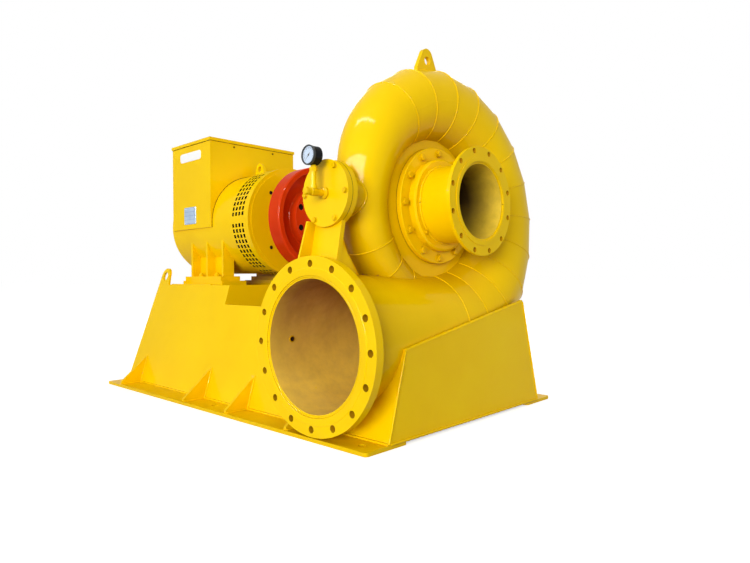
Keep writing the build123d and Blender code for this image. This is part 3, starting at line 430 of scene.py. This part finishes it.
for name, node in nodes.items():
    mesh = node.data
    mesh.materials.clear()
    mesh.materials.append(casing_yellow if name == "spiral_casing" else LOOK[slots[name]])
    if name in SECOND_LOOK:
        look, picks = SECOND_LOOK[name]
        mesh.materials.append(look)
        for face in mesh.polygons:
            face.material_index = int(picks(name, face))
    for face in mesh.polygons:
        face.use_smooth = True
    mesh.set_sharp_from_angle(angle=math.radians(14 if name == "spiral_casing" else 30))
    if name in PLATES:
        bevel = node.modifiers.new("edge", "BEVEL")
        bevel.width = 0.003 if "terminal" in name else 0.0022
        bevel.segments = 2
        bevel.limit_method = "ANGLE"
        bevel.angle_limit = math.radians(40)
        bevel.harden_normals = True


# ---------------------------------------------------------------- mesh tools
def piece(name, bm, looks, body="set", smooth=35):
    """Turns a bmesh into a piece that rides on a body."""
    bmesh.ops.recalc_face_normals(bm, faces=bm.faces)
    mesh = bpy.data.meshes.new(name)
    bm.to_mesh(mesh)
    bm.free()
    for look in looks if isinstance(looks, (list, tuple)) else [looks]:
        mesh.materials.append(look)
    for face in mesh.polygons:
        face.use_smooth = True
    mesh.set_sharp_from_angle(angle=math.radians(smooth))
    obj = bpy.data.objects.new(name, mesh)
    bpy.context.scene.collection.objects.link(obj)
    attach(obj, body)


def stand(origin, axis, spin=0.0):
    """Matrix whose local Z runs along axis from origin."""
    turn = Vector(axis).to_track_quat("Z", "Y").to_matrix().to_4x4()
    return Matrix.Translation(Vector(origin)) @ turn @ Matrix.Rotation(spin, 4, "Z")


def around(count, r, start=0.0):
    """Number and two offsets of each place round a bolt circle, from a start in degrees."""
    for k in range(count):
        a = math.radians(start + 360 / count * k)
        yield k, r * math.cos(a), r * math.sin(a)


def lathe(bm, place, profile, n=20, look=0, wob=None):
    """Turned form from (radius, height) pairs; wob(angle, radius) may change a radius."""
    rings = []
    for r, z in profile:
        if r <= 0:
            rings.append([bm.verts.new(place @ Vector((0, 0, z)))])
            continue
        ring = []
        for k in range(n):
            a = math.tau * k / n
            rr = wob(a, r) if wob else r
            ring.append(bm.verts.new(place @ Vector((rr * math.cos(a), rr * math.sin(a), z))))
        rings.append(ring)
    for low, high in zip(rings, rings[1:]):
        for k in range(n):
            quad = [
                low[k % len(low)], low[(k + 1) % len(low)],
                high[(k + 1) % len(high)], high[k % len(high)],
            ]
            corners = list(dict.fromkeys(quad))
            if len(corners) > 2:
                bm.faces.new(corners).material_index = look


def scaled(profile, m):
    """A profile in multiples of a size."""
    return [(r * m, z * m) for r, z in profile]


HEX_HEAD = (
    (0, 0.17), (0.80, 0.17), (0.866, 0.22), (0.866, 0.70), (0.76, 0.80), (0, 0.80),
)
STUD_END = ((0.5, 0.7), (0.5, 1.12), (0.40, 1.2), (0, 1.2))
SINK = 0.0006


def bolt(bm, origin, axis, m, spin=0.2, stud=False):
    """Hex head on a washer, or a nut with its stud end."""
    place = stand(origin, axis, spin)
    washer = [(0, -SINK), (m * 1.02, -SINK), (m * 1.02, m * 0.13), (m * 0.96, m * 0.17)]
    lathe(bm, place, washer + [(0, m * 0.17)], 20)
    lathe(bm, place, scaled(HEX_HEAD, m), 6)
    if stud:
        lathe(bm, place, scaled(STUD_END, m), 12)


def screw(bm, origin, axis, r):
    """Low pan-head screw with a hollow in its head."""
    head = scaled(((1, 0.25), (0.82, 0.5), (0.42, 0.6), (0.3, 0.25), (0, 0.2)), r)
    lathe(bm, stand(origin, axis, 0.3), [(r, -0.0004)] + head, 14)


def even(points, step, closed=False):
    """Points at an even step along a path."""
    path = [Vector(p) for p in points]
    if closed:
        path.append(path[0])
    total = sum((b - a).length for a, b in zip(path, path[1:]))
    count = max(2, int(total / step))
    out, k, run = [], 0, 0.0
    for i in range(count + (0 if closed else 1)):
        goal = total * i / count
        while k < len(path) - 2 and run + (path[k + 1] - path[k]).length < goal:
            run += (path[k + 1] - path[k]).length
            k += 1
        span = (path[k + 1] - path[k]).length
        out.append(path[k].lerp(path[k + 1], min(1.0, (goal - run) / span if span else 0)))
    return out


BEAD_SIDES = 6


def bead(bm, points, r, closed=False, pitch=0.0065):
    """Weld bead: a small rippled tube laid along a path."""
    path = even(points, pitch / 2, closed)
    n = len(path)
    rings = []
    for i, p in enumerate(path):
        ahead = path[(i + 1) % n] if closed or i < n - 1 else p
        behind = path[i - 1] if closed or i else p
        turn = (ahead - behind).to_track_quat("Z", "Y").to_matrix()
        swell = r * (1.0 + 0.16 * (i % 2) + 0.10 * math.sin(i * 0.73) * math.sin(i * 0.19))
        angles = (math.tau * k / BEAD_SIDES for k in range(BEAD_SIDES))
        spokes = [Vector((swell * math.cos(a), swell * math.sin(a), 0)) for a in angles]
        rings.append([bm.verts.new(p + turn @ spoke) for spoke in spokes])
    pairs = list(zip(rings, rings[1:])) + ([(rings[-1], rings[0])] if closed else [])
    for low, high in pairs:
        for k in range(BEAD_SIDES):
            after = (k + 1) % BEAD_SIDES
            bm.faces.new((low[k], low[after], high[after], high[k]))
    if not closed:
        bm.faces.new(rings[0][::-1])
        bm.faces.new(rings[-1])


def hoop(centre, axis, r, n=96):
    """Points round a circle."""
    place = stand(centre, axis)
    angles = (math.tau * k / n for k in range(n))
    return [place @ Vector((r * math.cos(a), r * math.sin(a), 0)) for a in angles]


def kept_runs(points, keep):
    """Splits a closed path into the runs of points that are kept."""
    flags = [keep(p) for p in points]
    if all(flags):
        return [points + points[:1]]
    first = flags.index(False)
    points, flags = points[first:] + points[:first], flags[first:] + flags[:first]
    out, run = [], []
    for p, ok in zip(points, flags):
        if ok:
            run.append(p)
        elif run:
            out.append(run)
            run = []
    if run:
        out.append(run)
    return [r for r in out if len(r) > 3]


# ---------------------------------------------------------------- welds
def outside_casing(p):
    """True where a point of a gore seam shows on the outside."""
    if math.hypot(p.y, p.z - SHAFT_Z) < RING_R and abs(p.x - CASING_X) < RING_HALF:
        return False
    if p.y < -0.2 and math.hypot(p.x - CASING_X, p.z - NOZZLE_Z) < NOZZLE_R:
        return False
    in_pipe = math.hypot(p.x - CASING_X, p.z - INLET_Z) < PIPE_R - 0.0005
    return not (p.y < -0.002 and in_pipe)


SEAM_POINTS = 160
bm = bmesh.new()
for angle in SEAMS:
    mid, tube = spiral_at(angle)
    turn = math.radians(angle)
    outward = Vector((0, math.sin(turn), -math.cos(turn)))
    centre = Vector((CASING_X, 0, SHAFT_Z)) + outward * mid
    circle = []
    for k in range(SEAM_POINTS):
        a = math.tau * k / SEAM_POINTS
        circle.append(centre + tube * (math.cos(a) * outward + math.sin(a) * Vector((1, 0, 0))))
    for run in kept_runs(circle, outside_casing):
        bead(bm, run, 0.0021)
piece("gore_seams", bm, yellow, smooth=60)

bm = bmesh.new()
for centre, axis, r, size in (
    ((CASING_X, FACE_Y + FLANGE_THICK, INLET_Z), (0, 1, 0), PIPE_R + 0.002, 0.0055),
    ((CASING_X, FACE_Y + 0.003, INLET_Z), (0, 1, 0), PIPE_R - 0.003, 0.0032),
    ((COVER_X + COLLAR_THICK, 0, SHAFT_Z), (1, 0, 0), TUBE_R + 0.001, 0.0045),
    ((OUT_X - 0.012, 0, SHAFT_Z), (1, 0, 0), TUBE_R + 0.001, 0.0045),
    ((OUT_X - 0.002, 0, SHAFT_Z), (1, 0, 0), TUBE_R - 0.001, 0.0026),
    ((CASING_X, HATCH_Y + HATCH_STACK, NOZZLE_Z), (0, 1, 0), NOZZLE_R + 0.001, 0.0042),
):
    bead(bm, hoop(centre, axis, r), size, True)
# The nozzle meets the casing where rays along its wall hit it
casing_tree = BVHTree.FromObject(nodes["spiral_casing"], bpy.context.evaluated_depsgraph_get())
joint = []
for _, x, z in around(120, NOZZLE_R):
    start = Vector((CASING_X + x, HATCH_Y, NOZZLE_Z + z))
    hit = casing_tree.ray_cast(start, Vector((0, 1, 0)))[0]
    if hit and hit.y < -0.2:
        joint.append(hit)
bead(bm, joint, 0.0045, True)
piece("casing_welds", bm, yellow, smooth=60)


def on_side(side, *points):
    """The points with their Y on the near (-1) or the far (1) side."""
    return [(x, side * y, z) for x, y, z in points]


FOOT_WELD, PLATE_WELD, GUSSET_WELD = 0.0042, 0.0036, 0.0034
FOOT_WELD_Z, CROSS_LOW_Z = 0.0135, 0.016
bm = bmesh.new()
for side in (-1, 1):
    for y, front in ((0.4315, 0.840), (0.4185, 0.830)):
        bead(bm, on_side(side, (-0.838, y, FOOT_WELD_Z), (front, y, FOOT_WELD_Z)), FOOT_WELD)
    for x in GUSSETS:
        for edge in (x - 0.0072, x + 0.0072):
            path = on_side(
                side, (edge, 0.518, 0.0132), (edge, wall_y(0.013) + 0.001, 0.0132),
                (edge, wall_y(0.130) + 0.001, 0.130),
            )
            bead(bm, path, GUSSET_WELD)
    # Cross plates, inside the wall
    for x, top in ((STEP_X, WALL_TOP), (DECK_FRONT, LOW_TOP), (REAR_WALL_X, WALL_TOP)):
        ends = [(x - 0.0005, wall_y(z) - 0.0115, z) for z in (CROSS_LOW_Z, top - 0.004)]
        bead(bm, on_side(side, *ends), PLATE_WELD)
    # Generator rail and bearing deck, on top of the wall
    rail_y, deck_y = wall_y(WALL_TOP) - 0.011, wall_y(LOW_TOP) + 0.0006
    bead(bm, on_side(side, *((x, rail_y, WALL_TOP + 0.0005) for x in (-0.674, -0.326))), PLATE_WELD)
    bead(bm, on_side(side, *((x, deck_y, LOW_TOP + 0.001) for x in (0.118, 0.392))), PLATE_WELD)
    # Sloping ends of the front saddle plate
    top = SADDLE_LOW if side < 0 else SADDLE_HIGH
    bead(bm, on_side(side, *((0.8415, wall_y(z), z) for z in (0.014, top))), PLATE_WELD)
bead(bm, [(0.8430, -0.424, FOOT_WELD_Z), (0.8430, 0.424, FOOT_WELD_Z)], FOOT_WELD)
saddle_top = [
    (0.8360, -wall_y(SADDLE_LOW), SADDLE_LOW + 0.0015),
    (0.8360, wall_y(SADDLE_HIGH), SADDLE_HIGH + 0.0015),
]
bead(bm, saddle_top, 0.0070, pitch=0.009)
piece("base_welds", bm, yellow, smooth=60)

# Raised face of the inlet flange, inside its bolt holes
bm = bmesh.new()
raised = [
    (PIPE_R, -0.0008), (PIPE_R, 0.0008), (0.2150, 0.0016), (0.2340, 0.0016),
    (0.2356, 0.0004), (0.2356, -0.0008),
]
lathe(bm, stand((CASING_X, FACE_Y, INLET_Z), (0, -1, 0)), raised, 96)
piece("inlet_raised_face", bm, yellow)

# Pressure tapping in the wall of the inlet pipe, level with its axis: a rim in shaded paint and a
# shallow dark cone, painted shade for the depth of the hole
bm = bmesh.new()
tapping = stand((CASING_X - PIPE_R + PIPE_WALL, -0.437, INLET_Z + 0.002), (1, 0, 0))
rim = [(0.0118, -0.001), (0.0118, 0.0010), (0.0102, 0.0022), (0.0080, 0.0022)]
lathe(bm, tapping, rim, 24, 0)
lathe(bm, tapping, [rim[-1], (0.0072, 0.0008), (0.0064, 0.0004), (0.0, 0.0002)], 24, 1)
piece("inlet_tapping", bm, [shade, rubber_and_hole_shade])

# ---------------------------------------------------------------- bolts and small fittings
bm = bmesh.new()
for k, y, z in around(12, COVER_BOLTS_R):
    bolt(bm, (COVER_X, y, SHAFT_Z + z), (1, 0, 0), 0.0135, 0.3 + k)
    bolt(bm, (REAR_COVER_X, y, SHAFT_Z + z), (-1, 0, 0), 0.0135, 0.3 + k)
for k, y, z in around(6, GLAND_BOLTS_R, 30):
    bolt(bm, (REAR_COVER_X - GLAND_THICK, y, SHAFT_Z + z), (-1, 0, 0), 0.010, k, True)
bolt(bm, (COVER_X + COLLAR_THICK, -0.1035, 0.6415), (1, 0, 0), 0.0085, 0.4)
piece("cover_bolts", bm, shaded_bolt_yellow)

# Hatch bolts, with the boss, the sleeve and the end nut of the gauge pipe
bm = bmesh.new()
for k, x, z in around(6, HATCH_BOLTS_R):
    x, z = CASING_X + x, NOZZLE_Z + z
    bolt(bm, (x, HATCH_Y, z), (0, -1, 0), 0.0095, 0.2 + k)
    bolt(bm, (x, HATCH_Y + HATCH_STACK, z), (0, 1, 0), 0.0095, 0.5 + k, True)
boss = [(0, -0.001), (0.0185, -0.001), (0.0185, 0.005), (0.0150, 0.009), (0.0098, 0.010)]
sleeve = [(0.0098, 0), (0.0128, 0.001), (0.0128, 0.023), (0.0098, 0.024)]
end_nut = [(0.0098, -0.002), (0.0122, 0), (0.0122, 0.009), (0.0105, 0.0118), (0, 0.0125)]
for profile, reach, sides, spin in (
    (boss, 0, 24, 0), (sleeve, 0.032, 16, 0.5), (end_nut, 0.066, 6, 0.2),
):
    lathe(bm, stand((CASING_X, HATCH_Y - reach, NOZZLE_Z), (0, -1, 0), spin), profile, sides)
piece("hatch_bolts", bm, shaded_bolt_yellow)

# Gasket edges at the hatch and the front head cover
bm = bmesh.new()
hatch_joint = stand((CASING_X, HATCH_Y + 0.0185, NOZZLE_Z), (0, 1, 0))
cover_joint = stand((0.6735, 0, SHAFT_Z), (1, 0, 0))
for place, inner, outer, low, high in (
    (hatch_joint, HATCH_R - 0.008, HATCH_R + 0.0002, 0.0006, 0.0024),
    (cover_joint, 0.190, 0.2034, 0, 0.0022),
):
    lathe(bm, place, [(inner, low), (outer, low), (outer, high), (inner, high)], 72)
piece("joint_gaskets", bm, gasket)

# Bolts of the bearing pedestal, the bearing end covers and the generator feet
bm = bmesh.new()
for x in (BEARING_X - 0.060, BEARING_X + 0.060):
    for y in (-0.143, 0.143):
        bolt(bm, (x, y, PEDESTAL_FOOT_Z), (0, 0, 1), 0.015, x * 9 + y, True)
for end in (-1, 1):
    for k, y, z in around(6, BEARING_BOLTS_R):
        bolt(bm, (BEARING_X + end * BEARING_HALF, y, SHAFT_Z + z), (end, 0, 0), 0.0075, k)
for side in (-1, 1):
    for x in (-0.550, -0.414):
        bolt(bm, (x, side * 0.205, GEN_FOOT_Z), (0, 0, 1), 0.014, x * 7, True)
piece("holding_bolts", bm, yellow)

# Bolts of the bearing cap and the rear cover, and the screws of the box lid
bm = bmesh.new()
for k, y, z in around(6, CAP_BOLTS_R, 30):
    bolt(bm, (GEN_FRONT + 0.024, y, SHAFT_Z + z), (1, 0, 0), 0.0075, k)
for k, y, z in around(8, REAR_BOLTS_R, 22.5):
    bolt(bm, (GEN_REAR - 0.034, y, SHAFT_Z + z), (-1, 0, 0), 0.0075, k)
for x in (BOX_REAR + 0.030, BOX_FRONT - 0.030):
    for y in (-0.215, 0.215):
        screw(bm, (x, y, BOX_TOP), (0, 0, 1), 0.0055)
piece("generator_bolts", bm, yellow)

# Dark screws near the top of the box, the seal under its lid and the one round the barrel
bm = bmesh.new()
for y in (-0.112, 0.109):
    screw(bm, (BOX_FRONT, y, 1.100), (1, 0, 0), 0.0046)
    screw(bm, (BOX_REAR, y, 1.100), (-1, 0, 0), 0.0046)
edge = BOX_HALF + 0.0004
corners = ((BOX_REAR, -edge), (BOX_FRONT, -edge), (BOX_FRONT, edge), (BOX_REAR, edge))
bead(bm, [(x, y, BOX_LID - 0.0012) for x, y in corners], 0.0008, True)
dip = math.asin((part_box("terminal_box")[0][2] - SHAFT_Z) / GEN_R)
seal_r = GEN_R + 0.001
for x in (BOX_FRONT, BOX_REAR):
    angles = (dip + (math.pi - 2 * dip) * k / 90 for k in range(91))
    bead(bm, [(x, seal_r * math.cos(a), SHAFT_Z + seal_r * math.sin(a)) for a in angles], 0.0013)
piece("box_seals", bm, seal, smooth=60)

# Threaded jacking holes in the end shield: shallow dark sockets, painted shade for the depth of the
# holes
bm = bmesh.new()
socket = [
    (0.0078, -0.001), (0.0078, 0.0012), (0.0062, 0.0016), (0.0048, 0.0008), (0.0044, 0.0004),
    (0, 0.0004),
]
for _, y, z in around(4, SOCKETS_R, 45):
    lathe(bm, stand((GEN_FRONT + 0.002, y, SHAFT_Z + z), (1, 0, 0)), socket, 18)
piece("shield_sockets", bm, rubber_and_hole_shade)

# Stator end windings behind the vent slots
bm = bmesh.new()
coils = [
    (0.170, -0.248), (0.2125, -0.244), (0.2170, -0.232), (0.2170, -0.164), (0.2120, -0.150),
    (0.170, -0.146),
]
along_shaft = Matrix.Translation((0, 0, SHAFT_Z)) @ Matrix.Rotation(math.pi / 2, 4, "Y")
lathe(
    bm, along_shaft, coils, 192,
    wob=lambda a, r: r - 0.0045 * (0.5 + 0.5 * math.cos(48 * a)),
)
piece("stator_windings", bm, winding_and_slot_shade, smooth=50)

# Coupling pins in their rubber bushes
bm = bmesh.new()
bush = [(0.0129, 0), (0.0129, 0.0075), (0.0118, 0.0085), (0.0080, 0.0085), (0.0076, 0)]
pin = [(0.0076, 0), (0.0076, 0.0050), (0.0066, 0.0060), (0.0020, 0.0060), (0, 0.0048)]
for _, y, z in around(8, PIN_R, 22.5):
    place = stand((WHEEL_FRONT - 0.010, y, SHAFT_Z + z), (1, 0, 0))
    lathe(bm, place, bush, 24)
    lathe(bm, place, pin, 18)
piece("coupling_pins", bm, rubber_and_hole_shade, "rotor")


# ---------------------------------------------------------------- plates on the terminal box
def rounded(bm, x0, x1, z0, z1, y, thick, r):
    """Thin plate with rounded corners and an eased edge on the -Y face of the box."""
    rings = []
    centres = ((x1 - r, z1 - r), (x0 + r, z1 - r), (x0 + r, z0 + r), (x1 - r, z0 + r))
    for inset, depth in ((0, 0.0004), (0, -thick * 0.6), (thick * 0.5, -thick)):
        ring = []
        for quarter, (cx, cz) in enumerate(centres):
            for k in range(7):
                a = math.radians(90 * quarter + 15 * k)
                x, z = cx + (r - inset) * math.cos(a), cz + (r - inset) * math.sin(a)
                ring.append(bm.verts.new((x, y + depth, z)))
        rings.append(ring)
    n = len(rings[0])
    for low, high in zip(rings, rings[1:]):
        for k in range(n):
            bm.faces.new((low[k], low[(k + 1) % n], high[(k + 1) % n], high[k]))
    bm.faces.new(rings[-1])


bm = bmesh.new()
rounded(bm, -0.676, -0.491, 1.041, 1.083, -BOX_HALF, 0.0016, 0.013)
piece("blank_label", bm, plate_white)

bm = bmesh.new()
rounded(bm, -0.644, -0.538, 0.745, 0.825, -BOX_HALF, 0.0014, 0.004)
rivet = [(0.0026, -0.0004), (0.0026, 0.0003), (0.0017, 0.0012), (0, 0.0015)]
for x in (-0.639, -0.543):
    for z in (0.750, 0.820):
        lathe(bm, stand((x, -BOX_HALF - 0.0012, z), (0, -1, 0)), rivet, 12, 1)
piece("blank_nameplate", bm, [tag, zinc])

# ---------------------------------------------------------------- gauge
GAUGE_Z, GAUGE_Y, STEM_Y = NOZZLE_Z + 0.107, HATCH_Y - 0.066, HATCH_Y - 0.044
TICK_OUTER = 0.0226
dial = stand((CASING_X, GAUGE_Y, GAUGE_Z), (0, -1, 0))


def mark(bm, angle, depth, outline):
    """Flat mark on the dial, from (radius, offset) corners along an angle in degrees."""
    a = math.radians(angle)
    out, across = Vector((math.cos(a), 0, math.sin(a))), Vector((-math.sin(a), 0, math.cos(a)))
    base = Vector((CASING_X, GAUGE_Y + depth, GAUGE_Z))
    bm.faces.new([bm.verts.new(base + out * r + across * t) for r, t in outline])


bm = bmesh.new()
bezel = [
    (0.0258, -0.0045), (0.0258, -0.001), (0.0268, 0.0012), (0.0285, 0.0012), (0.0302, -0.001),
    (0.0302, -0.006), (0.0292, -0.0075),
]
lathe(bm, dial, bezel, 64)
piece("gauge_bezel", bm, bezel_grey)

# Scale marks, needle and its cap
bm = bmesh.new()
for k in range(51):
    half, inner = (0.00042, 0.0188) if k % 5 == 0 else (0.00022, 0.0206)
    tick = ((inner, -half), (TICK_OUTER, -half), (TICK_OUTER, half), (inner, half))
    mark(bm, 225 - 270 * k / 50, 0.0038, tick)
needle = ((-0.008, -0.0011), (0.0205, -0.0002), (0.0205, 0.0002), (-0.008, 0.0011))
mark(bm, 225, 0.0028, needle)
cap = [(0.0030, 0), (0.0030, 0.0010), (0.0020, 0.0016), (0, 0.0017)]
lathe(bm, stand((CASING_X, GAUGE_Y + 0.0034, GAUGE_Z), (0, -1, 0)), cap, 16)
piece("gauge_marks", bm, black)

bm = bmesh.new()
window = [(0.0259, -0.0016), (0.0259, -0.0008), (0.0180, -0.0003), (0.0090, -0.0001), (0, 0.0)]
lathe(bm, dial, window, 48)
piece("gauge_glass", bm, glass)

# Union nut and collar on the upright of the gauge pipe
bm = bmesh.new()
nut = [(0.0083, 0), (0.0118, 0.001), (0.0118, 0.013), (0.0083, 0.014)]
collar = [(0.0083, 0), (0.0112, 0.001), (0.0112, 0.010), (0.0083, 0.012)]
lathe(bm, stand((CASING_X, STEM_Y, NOZZLE_Z + 0.060), (0, 0, 1)), nut, 6)
lathe(bm, stand((CASING_X, STEM_Y, NOZZLE_Z + 0.008), (0, 0, 1)), collar, 20)
piece("gauge_union", bm, yellow)

# ---------------------------------------------------------------- floor, surround, lamps, camera
AMBIENT = 0.20
# Floor: tone that lights the set from below, tone that shows, and its glow near the set
FLOOR_BOUNCE, FLOOR_SHOWN, FLOOR_GLOW = 0.42, 0.88, 0.62
FLOOR_HALF = 60


def background_rays(tree):
    """1 for the rays that show the background: from the camera, off gloss and through glass."""
    path = tree.nodes.new("ShaderNodeLightPath")
    last = path.outputs["Is Camera Ray"]
    for key in ("Is Glossy Ray", "Is Transmission Ray"):
        node = tree.nodes.new("ShaderNodeMath")
        node.operation = "MAXIMUM"
        tree.links.new(last, node.inputs[0])
        tree.links.new(path.outputs[key], node.inputs[1])
        last = node.outputs[0]
    return last


def floor_look():
    """White floor that keeps the shadow: its glow is weaker near the set."""
    mat = bpy.data.materials.new("floor_white")
    mat.use_nodes = True
    tree = mat.node_tree
    tree.nodes.clear()
    out = tree.nodes.new("ShaderNodeOutputMaterial")
    diffuse = tree.nodes.new("ShaderNodeBsdfDiffuse")
    glow = tree.nodes.new("ShaderNodeEmission")
    both = tree.nodes.new("ShaderNodeAddShader")
    shows = background_rays(tree)
    tone = tree.nodes.new("ShaderNodeMapRange")
    tone.inputs["To Min"].default_value = FLOOR_BOUNCE
    tone.inputs["To Max"].default_value = FLOOR_SHOWN
    away = tree.nodes.new("ShaderNodeVectorMath")
    away.operation = "LENGTH"
    fade = tree.nodes.new("ShaderNodeMapRange")
    fade.interpolation_type = "SMOOTHSTEP"
    fade.inputs["From Min"].default_value = 1.0
    fade.inputs["From Max"].default_value = 5.5
    fade.inputs["To Min"].default_value = FLOOR_GLOW
    fade.inputs["To Max"].default_value = 1 - AMBIENT * FLOOR_SHOWN
    lift = tree.nodes.new("ShaderNodeMath")
    lift.operation = "MULTIPLY"
    for a, b in (
        (shows, tone.inputs["Value"]),
        (tone.outputs["Result"], diffuse.inputs["Color"]),
        (tree.nodes.new("ShaderNodeTexCoord").outputs["Object"], away.inputs[0]),
        (away.outputs["Value"], fade.inputs["Value"]),
        (shows, lift.inputs[0]),
        (fade.outputs["Result"], lift.inputs[1]),
        (lift.outputs[0], glow.inputs["Strength"]),
        (diffuse.outputs[0], both.inputs[0]),
        (glow.outputs[0], both.inputs[1]),
        (both.outputs[0], out.inputs["Surface"]),
    ):
        tree.links.new(a, b)
    return mat


floor_mesh = bpy.data.meshes.new("floor")
floor_corners = [(-1, -1), (1, -1), (1, 1), (-1, 1)]
floor_mesh.from_pydata(
    [(x * FLOOR_HALF, y * FLOOR_HALF, 0) for x, y in floor_corners], [], [(0, 1, 2, 3)],
)
floor_mesh.materials.append(floor_look())
floor = bpy.data.objects.new("floor", floor_mesh)
bpy.context.scene.collection.objects.link(floor)
floor.location.z = -0.001

# White surround for the camera, gloss and glass; a low even light for all else
world = bpy.data.worlds.new("studio")
bpy.context.scene.world = world
world.use_nodes = True
tree = world.node_tree
tree.nodes.clear()
out = tree.nodes.new("ShaderNodeOutputWorld")
pick = tree.nodes.new("ShaderNodeMixShader")
for socket, strength in ((1, AMBIENT), (2, 1.0)):
    sky = tree.nodes.new("ShaderNodeBackground")
    sky.inputs["Color"].default_value = (1, 1, 1, 1)
    sky.inputs["Strength"].default_value = strength
    tree.links.new(sky.outputs[0], pick.inputs[socket])
tree.links.new(background_rays(tree), pick.inputs["Fac"])
tree.links.new(pick.outputs[0], out.inputs["Surface"])


def lamp(name, place, aim, size, power, diffuse=True, gloss=True):
    """Rectangular area lamp turned to a point; it may light only dull or only glossy paths."""
    data = bpy.data.lights.new(name, "AREA")
    data.shape = "RECTANGLE"
    data.size, data.size_y = size
    data.energy = power
    obj = bpy.data.objects.new(name, data)
    obj.location = place
    obj.rotation_euler = (Vector(aim) - Vector(place)).to_track_quat("-Z", "Y").to_euler()
    obj.visible_diffuse, obj.visible_glossy = diffuse, gloss
    bpy.context.scene.collection.objects.link(obj)


# A soft key from the front right and fills light the paint. The two strips, placed where the
# photo's highlights need them, show in gloss alone.
lamp("key", (4.5, -9.0, 2.2), (0.2, 0, 0.5), (6.0, 3.0), 880, gloss=False)
lamp("top_fill", (0.72, -1.90, 3.60), (0.5, 0, 0.8), (3.6, 0.8), 22, gloss=False)
lamp("right_back", (3.2, 3.4, 2.4), (0.6, 0, 0.7), (2.4, 2.0), 40, gloss=False)
lamp("left_back", (-3.5, 4.5, 3.0), (0, 0, 0.6), (3.0, 2.4), 150)
lamp("front_strip", (0.79, -3.40, 1.545), (0.66, -0.38, 0.80), (5.6, 1.30), 820, diffuse=False)
lamp("top_strip", (0.72, -1.96, 3.70), (0.67, -0.33, 1.00), (3.4, 0.34), 135, diffuse=False)

# Camera at the photo's place, fitted to the flanges and the base
CAMERA_AT = (1.96925, -1.67331, 0.4945)
CAMERA_TURN, CAMERA_RISE, CAMERA_ROLL = (math.radians(v) for v in (43.46, 0.52, -0.37))
SENSOR_MM, LENS_MM = 36, 28.44
cam_data = bpy.data.cameras.new("camera")
cam_data.sensor_width = SENSOR_MM
cam_data.lens = LENS_MM
cam = bpy.data.objects.new("camera", cam_data)
bpy.context.scene.collection.objects.link(cam)
level = math.cos(CAMERA_RISE)
back = Vector((
    math.sin(CAMERA_TURN) * level, -math.cos(CAMERA_TURN) * level, math.sin(CAMERA_RISE),
))
right = Vector((math.cos(CAMERA_TURN), math.sin(CAMERA_TURN), 0))
up = back.cross(right)
cam_x = right * math.cos(CAMERA_ROLL) + up * math.sin(CAMERA_ROLL)
cam_y = up * math.cos(CAMERA_ROLL) - right * math.sin(CAMERA_ROLL)
cam_turn = Matrix((cam_x, cam_y, back)).transposed().to_4x4()
cam.matrix_world = Matrix.Translation(CAMERA_AT) @ cam_turn
bpy.context.scene.camera = cam
bpy.context.scene.view_settings.view_transform = "Standard"
